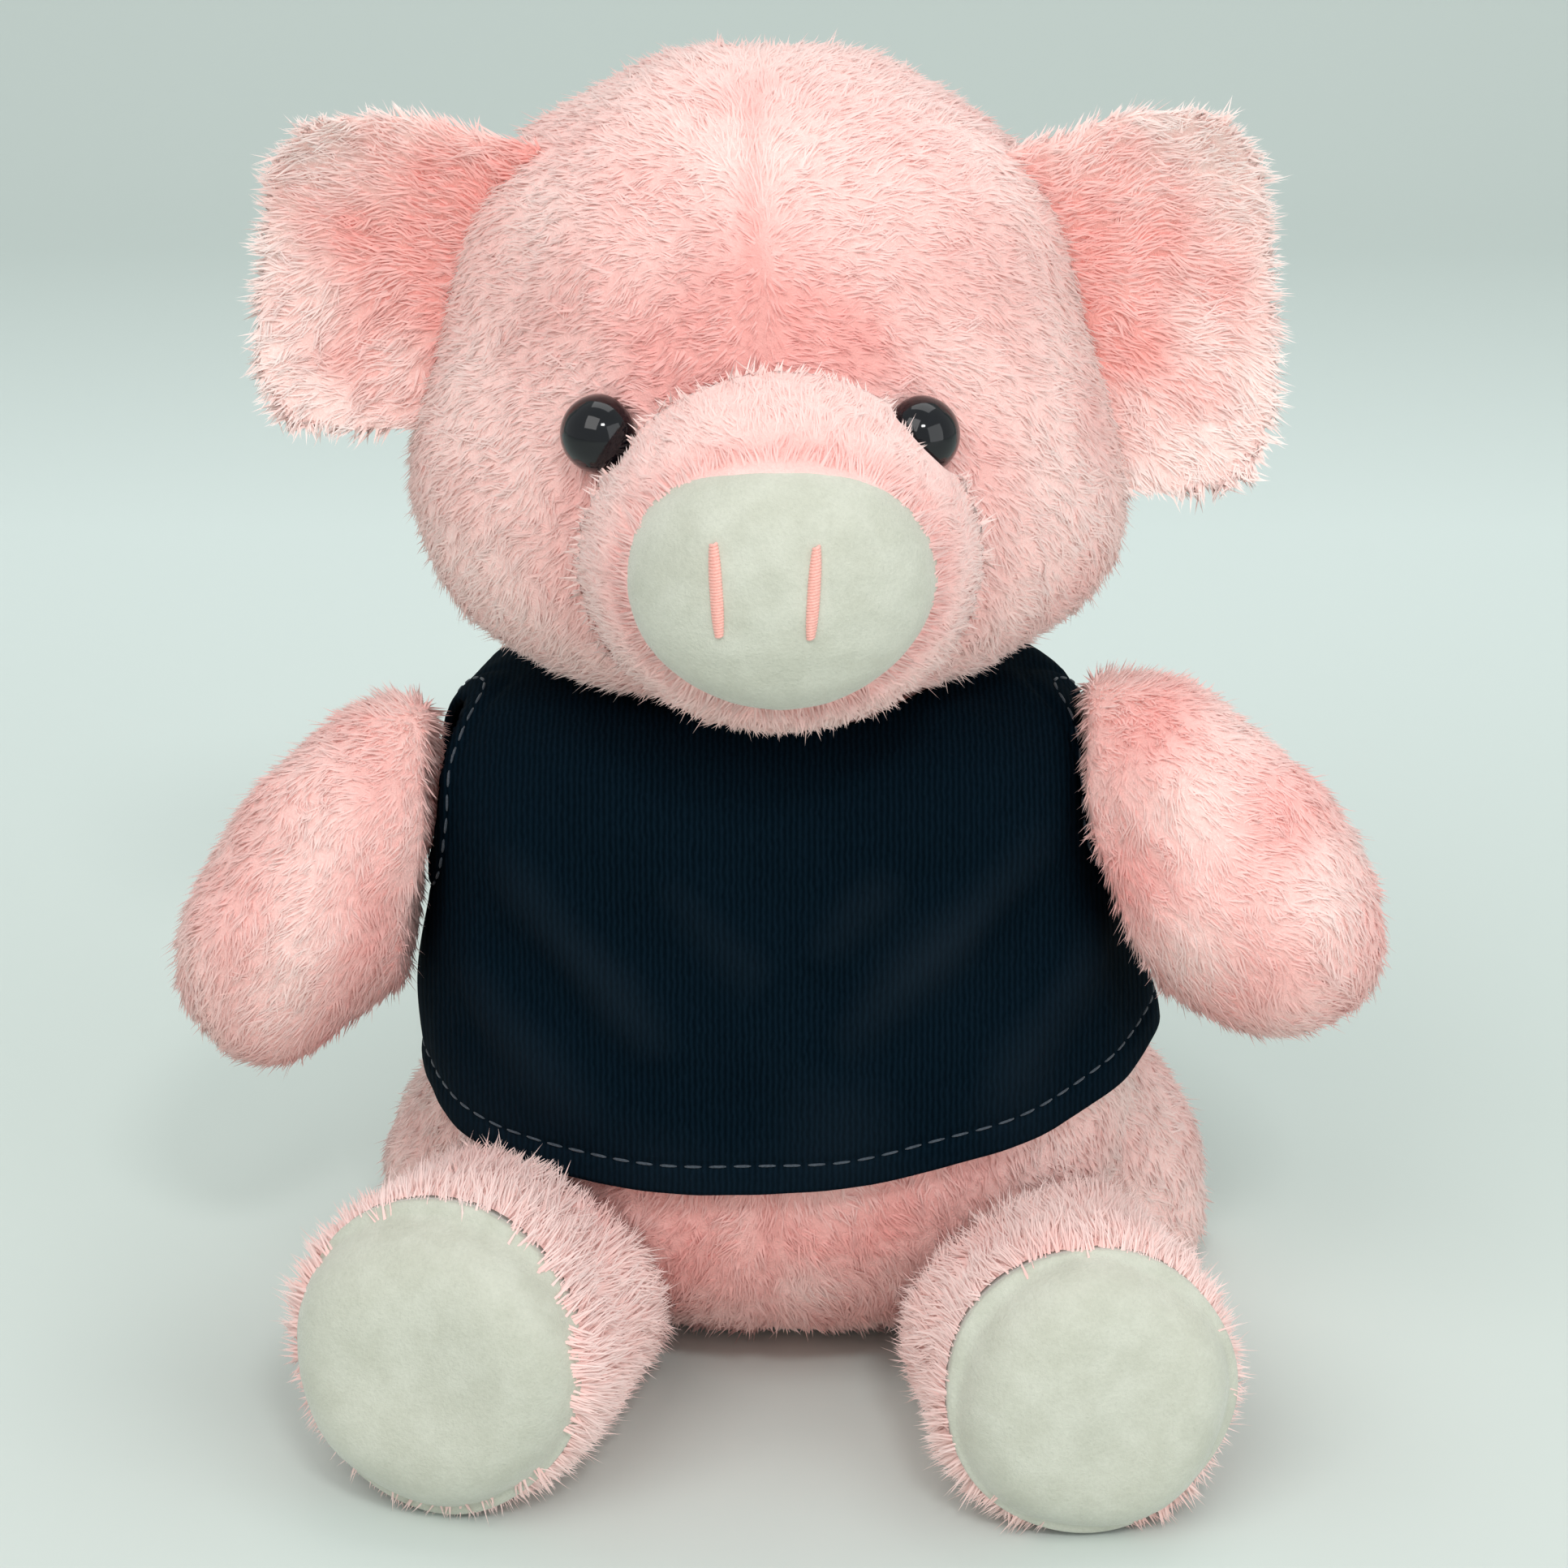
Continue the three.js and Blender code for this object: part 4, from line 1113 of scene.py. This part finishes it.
def limb_pieces(kind, name):
    """A limb's skin, filling and pile. Gives its shape, its tip and its axis."""
    root, tip = (np.array(end) * mm for end in limb_ends[kind, name])
    axis = unit(tip - root)
    limb = f"{kind}_{name}"
    shape = limb_shape(limb, (root + tip) / 2)
    half_width, half_height = pad_half_sizes[name]

    def arm_comb(points, normals):
        """Along the arm towards its paw."""
        return axis + 0.25 * unit(points - root)

    def leg_comb(points, normals):
        """Out and back from the pad round the foot."""
        off = points - tip
        return unit(off - (off @ axis)[:, None] * axis) - axis

    def leg_keep(points, normals):
        """Pile round the pad, and none under the leg."""
        across = unit(np.cross((0, 0, 1), axis))
        off = points - tip
        ring = np.hypot(off @ across / half_width, off @ np.cross(axis, across) / half_height)
        on_pad = (ring < 0.95) & (off @ axis > -sole_reach)
        return (normals[:, 2] > -0.85) * ~on_pad

    def arm_tone_and_shade(points, normals):
        # Painted shade: deeper on the arm's underside and on its side towards the body, over a random tone
        low = held(-normals[:, 2] + 0.2)
        inner = held(-normals[:, 0] * np.sign(tip[0]) - 0.1)
        return np.clip(0.3 + 0.15 * low + 0.2 * inner + 0.16 * ripple(points, 13 * mm, 15), 0, 0.85)

    def leg_tone(points, normals):
        return np.clip(0.12 * ripple(points, 13 * mm, 15), 0, 0.4)

    def arm_rise(points, normals):
        """How far the pile leans, as a share: less where the arm meets the vest."""
        return 1 - 0.45 * held(1 - (points - root) @ axis / (14 * mm))

    def leg_rise(points, normals):
        """How far the pile leans, as a share: less round the pad."""
        return 1 - 0.5 * held(1 + (points - tip) @ axis / (13 * mm))

    comb, keep, tone, rise = {
        "arm": (arm_comb, everywhere, arm_tone_and_shade, arm_rise),
        "leg": (leg_comb, leg_keep, leg_tone, leg_rise)}[kind]
    stuffed_piece(limb, shape, limb, tone)
    pile(f"{limb}_pile", shape, limb, comb, keep, 51 + len(limb) + eye_sides[name],
         [body_tree, vest_tree], tone, rise, **limb_styles[kind])
    return shape, tip, axis


def pad_piece(name, leg, tip, axis):
    """The velour pad on a foot's sole."""
    pad = disc_shape(tree_of(*leg), tip, axis, *pad_half_sizes[name], skin_inset + pad_stand, pad_most_sag)
    lift_off_floor(pad[0])
    piece = new_mesh(f"foot_pad_{name}_velour", *pad)
    finish_piece(piece, velour_cream, f"leg_{name}", "velour_cream", f"foot_pad_{name}")


limbs = {limb: limb_pieces(*limb) for limb in limb_ends}
for name in eye_sides:
    pad_piece(name, *limbs["leg", name])


# Vest

def hem_at(x):
    """The hem's height, which rises to the sides."""
    share = x / hem_half_width
    return hem_height + hem_rise * share * share + hem_tilt * share


def vest_shape():
    """The garment as a fine grid from its hem to its neck."""
    columns, rows = 360, 96
    tree = tree_of(*body_form)
    grid = np.empty((rows + 1, columns, 3))
    for i in range(columns):
        angle = full_turn * i / columns

        def reached(tilt):
            flat = math.cos(tilt)
            ray = Vector((math.cos(angle) * flat, math.sin(angle) * flat, math.sin(tilt)))
            return tree.ray_cast(body_middle + ray * ray_reach, -ray)[0]

        start = 0.0
        stop = math.pi / 4
        for _ in range(4):
            place = reached(start)
            out = (place - body_middle).to_2d().length
            start = math.atan2(hem_at(place.x) - body_middle.z, out)
            stop = math.atan2(reached(stop).z - body_middle.z, neck_hole_radius)
        for j in range(rows + 1):
            grid[j, i] = reached(start + (stop - start) * j / rows)
    faces = []
    for j in range(rows):
        faces += band(j * columns, columns, columns)
    return grid.reshape(-1, 3), np.array(faces)


def armhole_ring(points):
    """How far out a point lies, as a share of its armhole's outline, or 9 near the toy's middle."""
    ring = np.hypot((points[:, 1] - shoulder_depth) / armhole_half_depth,
                    (points[:, 2] - shoulder_height) / armhole_half_height)
    return np.where(np.abs(points[:, 0]) > 20 * mm, ring, 9)


def with_armholes(points, triangles):
    """The grid with its armholes cut out and their edges drawn onto an even curve."""
    inside = armhole_ring(points) < 1
    is_cut = inside[triangles].any(axis=1)
    edge = np.setdiff1d(np.unique(triangles[is_cut]), np.flatnonzero(inside))
    share = (1 / armhole_ring(points[edge]))[:, None]
    middle = np.array((shoulder_depth, shoulder_height))
    points[edge, 1:] = middle + (points[edge, 1:] - middle) * share
    return points, triangles[~is_cut]


# Each fold runs from a point to another, as shares of the belly's half width and of the
# height from hem to armhole, and has a share of the full depth
fold_runs = [
    (-0.8, 0.88, -0.22, 0.3, 1.0), (-0.95, 0.62, -0.45, 0.08, 0.8), (0.8, 0.88, 0.16, 0.36, 1.0),
    (0.95, 0.6, 0.5, 0.05, 0.8), (-0.32, 0.84, 0.02, 0.5, 0.55), (0.36, 0.82, 0.1, 0.55, 0.55),
]
fold_depth = 2.2 * mm
fold_width = 3.8 * mm
fold_start = 14 * mm
fold_fade = 16 * mm
belly_half_width = 42 * mm


def stand_of(points):
    """How far the folds and the hem stand off the body."""
    x, y, z = points.T
    reach = shoulder_height + armhole_half_height - hem_height
    stand = np.zeros(len(points))
    for start_side, high, end_side, low, share in fold_runs:
        start = np.array((start_side * belly_half_width, hem_height + high * reach))
        run = np.array((end_side * belly_half_width, hem_height + low * reach)) - start
        here = points[:, [0, 2]] - start
        along = here @ run / (run @ run)
        across = (here[:, 0] * run[1] - here[:, 1] * run[0]) / np.linalg.norm(run)
        fade = np.maximum(1 - (2 * along - 1) ** 4, 0)
        stand += fold_depth * share * fade * bell(across, fold_width)
    flare = hem_flare * held(1 - (z - hem_height) / (0.6 * (shoulder_height - hem_height)))
    calm = held(np.hypot(y - shoulder_depth, z - shoulder_height) / fold_start - 1)
    front = held(-y / (12 * mm))
    above_hem = held((z - hem_at(x)) / fold_fade)
    behind = held(y / (20 * mm))
    return (stand * calm * front * above_hem + flare * (1 - 0.8 * behind)
            + ripple(points, 18 * mm, 5) * 0.25 * mm)


def edge_distance(points):
    """How far each point of the cloth lies from its hem or armhole."""
    armhole = (armhole_ring(points) - 1) * (armhole_half_depth + armhole_half_height) / 2
    return np.minimum(points[:, 2] - hem_at(points[:, 0]), armhole)


def vest_piece():
    """The jersey, and a tree of its outer side for the stitches to lie on."""
    points, faces = with_armholes(*vest_shape())
    edge = edge_distance(points)
    turned = held(1 - edge / stitch_inset) ** 0.3 * turned_edge
    groove = bell(edge - stitch_inset, 0.5 * mm) * stitch_groove_depth
    stand = stand_of(points)
    off_body = vest_stand_off + jersey_thickness + stand + turned - groove
    outer = points + normals_of(points, faces) * off_body[:, None]
    piece = new_mesh("vest_jersey", outer, faces)
    # The tone value paints a highlight on the cloth where it stands out: the folds' ridges and the flared
    # hem
    set_values(piece, "tone", held(stand / fold_depth - 0.25))
    thicken = piece.modifiers.new("thickness", "SOLIDIFY")
    thicken.thickness = jersey_thickness
    thicken.offset = -1
    return finish_piece(piece, jersey_navy, "torso", "jersey_navy", "vest"), tree_of(outer, faces)


def stitch_line(route):
    """Short threads at an even pitch along a route on the cloth."""
    route = np.array(route)
    gaps = np.linalg.norm(np.diff(route, axis=0), axis=1)
    place = np.concatenate([[0], np.cumsum(gaps)])
    threads = []
    for start in np.arange(0, place[-1] - stitch_length, stitch_pitch):
        spots = start + stitch_length * np.linspace(0, 1, 7)
        points = np.stack([np.interp(spots, place, route[:, k]) for k in range(3)], axis=1)
        threads.append(tube(points, stitch_radius * np.array([0.4, 0.9, 1, 1, 1, 0.9, 0.4]), 6))
    return threads


def on_cloth(tree, spots):
    """The points of the cloth that rays from outside meet, from (place, outward way) pairs."""
    found = []
    for start, way in spots:
        way = Vector(way)
        place, normal, _, _ = tree.ray_cast(Vector(start) + way * ray_reach, -way)
        if place is not None:
            found.append(place + normal * 0.05 * mm)
    return found


def stitching_piece(tree):
    """The topstitching along the hem and round the armholes."""
    hem = []
    for i in range(361):
        angle = full_turn * i / 360
        way = (math.cos(angle), math.sin(angle), 0)
        [above] = on_cloth(tree, [((body_middle.x, body_middle.y, hem_height + 8 * mm), way)])
        hem.append(((body_middle.x, body_middle.y, hem_at(above.x) + stitch_inset), way))
    threads = stitch_line(on_cloth(tree, hem))
    for side in (-1, 1):
        armhole = []
        for i in range(121):
            angle = full_turn * i / 120
            y = shoulder_depth + (armhole_half_depth + stitch_inset) * math.cos(angle)
            z = shoulder_height + (armhole_half_height + stitch_inset) * math.sin(angle)
            armhole.append(((0, y, z), (side, 0, 0)))
        threads += stitch_line(on_cloth(tree, armhole))
    piece = new_mesh("vest_stitching", *joined(threads))
    return finish_piece(piece, thread_grey, "torso", "jersey_navy")


vest, cloth_tree = vest_piece()
stitching_piece(cloth_tree)


# Tail

def tail_route():
    """One curl, from the seat outwards, inside the CAD tail."""
    low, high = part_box("tail")
    radius = (high.x - low.x) / 2 - tail_inset
    bottom = low.z + tail_inset
    route = []
    for share in np.linspace(0, 1, 41):
        angle = share * tail_turns * full_turn
        y = low.y + tail_inset + (high.y - low.y - 2 * tail_inset) * share
        route.append((radius * math.sin(angle), y, bottom + radius * (1 - math.cos(angle))))
    return route


def tail_comb(points, normals):
    """Outwards along the tail."""
    return as_rows(np.zeros(len(points)), 1, 0.3)


tail = tube(tail_route(), tail_radius, 12)
finish_piece(new_mesh("tail_skin_pile", *tail), ground_pink, "tail", "pile_pink", "tail")
pile("tail_pile", tail, "tail", tail_comb, everywhere, 71)


# What lies inside keeps its CAD solid
for node, material in (
        ("bean_pouch", pouch_cloth), ("neck_gather", thread_white),
        ("eye_washer_left", washer_white), ("eye_washer_right", washer_white)):
    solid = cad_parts[node]
    solid.data.materials.clear()
    solid.data.materials.append(material)


# Stage, light and camera

floor_half_width = 1.6
floor_front = -1.2
floor_back = 0.55
backdrop_bend = 0.25
backdrop_height = 1.3
# Painted light: the sweep is palest just behind the toy and darker towards the front and up the backdrop
floor_light_falloff = [
    (0.0, colour(205, 211, 206)), (0.3, colour(208, 217, 212)), (0.55, colour(220, 230, 227)),
    (0.8, colour(201, 210, 206)), (1.0, colour(192, 201, 196)),
]
lamp_aim = Vector((0, 0, 80 * mm))
world_strength = 0.72


def stage():
    """A pale sweep: a floor that curves up into a backdrop, with painted light along its depth."""
    profile = [(floor_front, 0.0)]
    for i in range(17):
        angle = i / 16 * math.pi / 2
        profile.append((floor_back + backdrop_bend * math.sin(angle),
                        backdrop_bend * (1 - math.cos(angle))))
    profile.append((floor_back + backdrop_bend, backdrop_height))
    points = [(x, y, z) for x in (-floor_half_width, floor_half_width) for y, z in profile]
    count = len(profile)
    faces = []
    for i in range(count - 1):
        faces += [(i, i + 1, i + 1 + count), (i, i + 1 + count, i + count)]
    sweep = new_mesh("floor", np.array(points), np.array(faces)[:, ::-1])
    shader = Shader("floor_card")
    along = shader.node("ShaderNodeSeparateXYZ")
    shader.feed(along.inputs["Vector"], shader.node("ShaderNodeTexCoord").outputs["Object"])
    back = shader.math("ADD", shader.times(along.outputs["Y"], 0.9), 0.27)
    shader.set(Base_Color=shader.ramp(back, floor_light_falloff), Roughness=0.85, Specular_IOR_Level=0.2)
    sweep.data.materials.append(shader.material)


def lamp(name, place, aim, size, power, shade):
    """A rectangular lamp that shines from a place at an aim."""
    light = bpy.data.lights.new(name, "AREA")
    light.shape = "RECTANGLE"
    light.size, light.size_y = size
    light.energy = power
    light.color = shade
    holder = linked(bpy.data.objects.new(name, light))
    holder.location = place
    holder.rotation_euler = (aim - Vector(place)).to_track_quat("-Z", "Y").to_euler()


def lights():
    """Three broad lamps, a small window for the eyes' highlights, and the room's own light."""
    lamp("key", (-0.4, -0.7, 0.9), lamp_aim, (0.7, 0.7), 4.3, (1.0, 0.98, 0.97))
    lamp("fill", (0.75, -0.7, 0.4), lamp_aim, (0.8, 0.8), 2.9, (0.97, 0.985, 1.0))
    lamp("top", (0.1, 0.25, 0.95), lamp_aim, (0.7, 0.5), 2.0, (1.0, 1.0, 1.0))
    lamp("window", (0.13, -0.66, 0.7), Vector((0, 0, 120 * mm)), (0.14, 0.09), 1.6, (1.0, 1.0, 1.0))
    world = bpy.data.worlds.new("world")
    world.use_nodes = True
    background = world.node_tree.nodes["Background"]
    background.inputs["Color"].default_value = colour(232, 238, 238)
    background.inputs["Strength"].default_value = world_strength
    bpy.context.scene.world = world


def camera():
    """The camera that took the photograph."""
    lens = bpy.data.cameras.new("camera")
    lens.sensor_width = sensor_width
    lens.lens = focal_px / photo_side_px * sensor_width
    lens.clip_start = camera_clip_start
    holder = linked(bpy.data.objects.new("camera", lens))
    away = Vector((0, -math.cos(camera_pitch), math.sin(camera_pitch))) * camera_distance
    holder.location = camera_target + away
    holder.rotation_euler = (-away).to_track_quat("-Z", "Y").to_euler()
    bpy.context.scene.camera = holder


stage()
lights()
camera()
bpy.context.scene.view_settings.view_transform = "Standard"
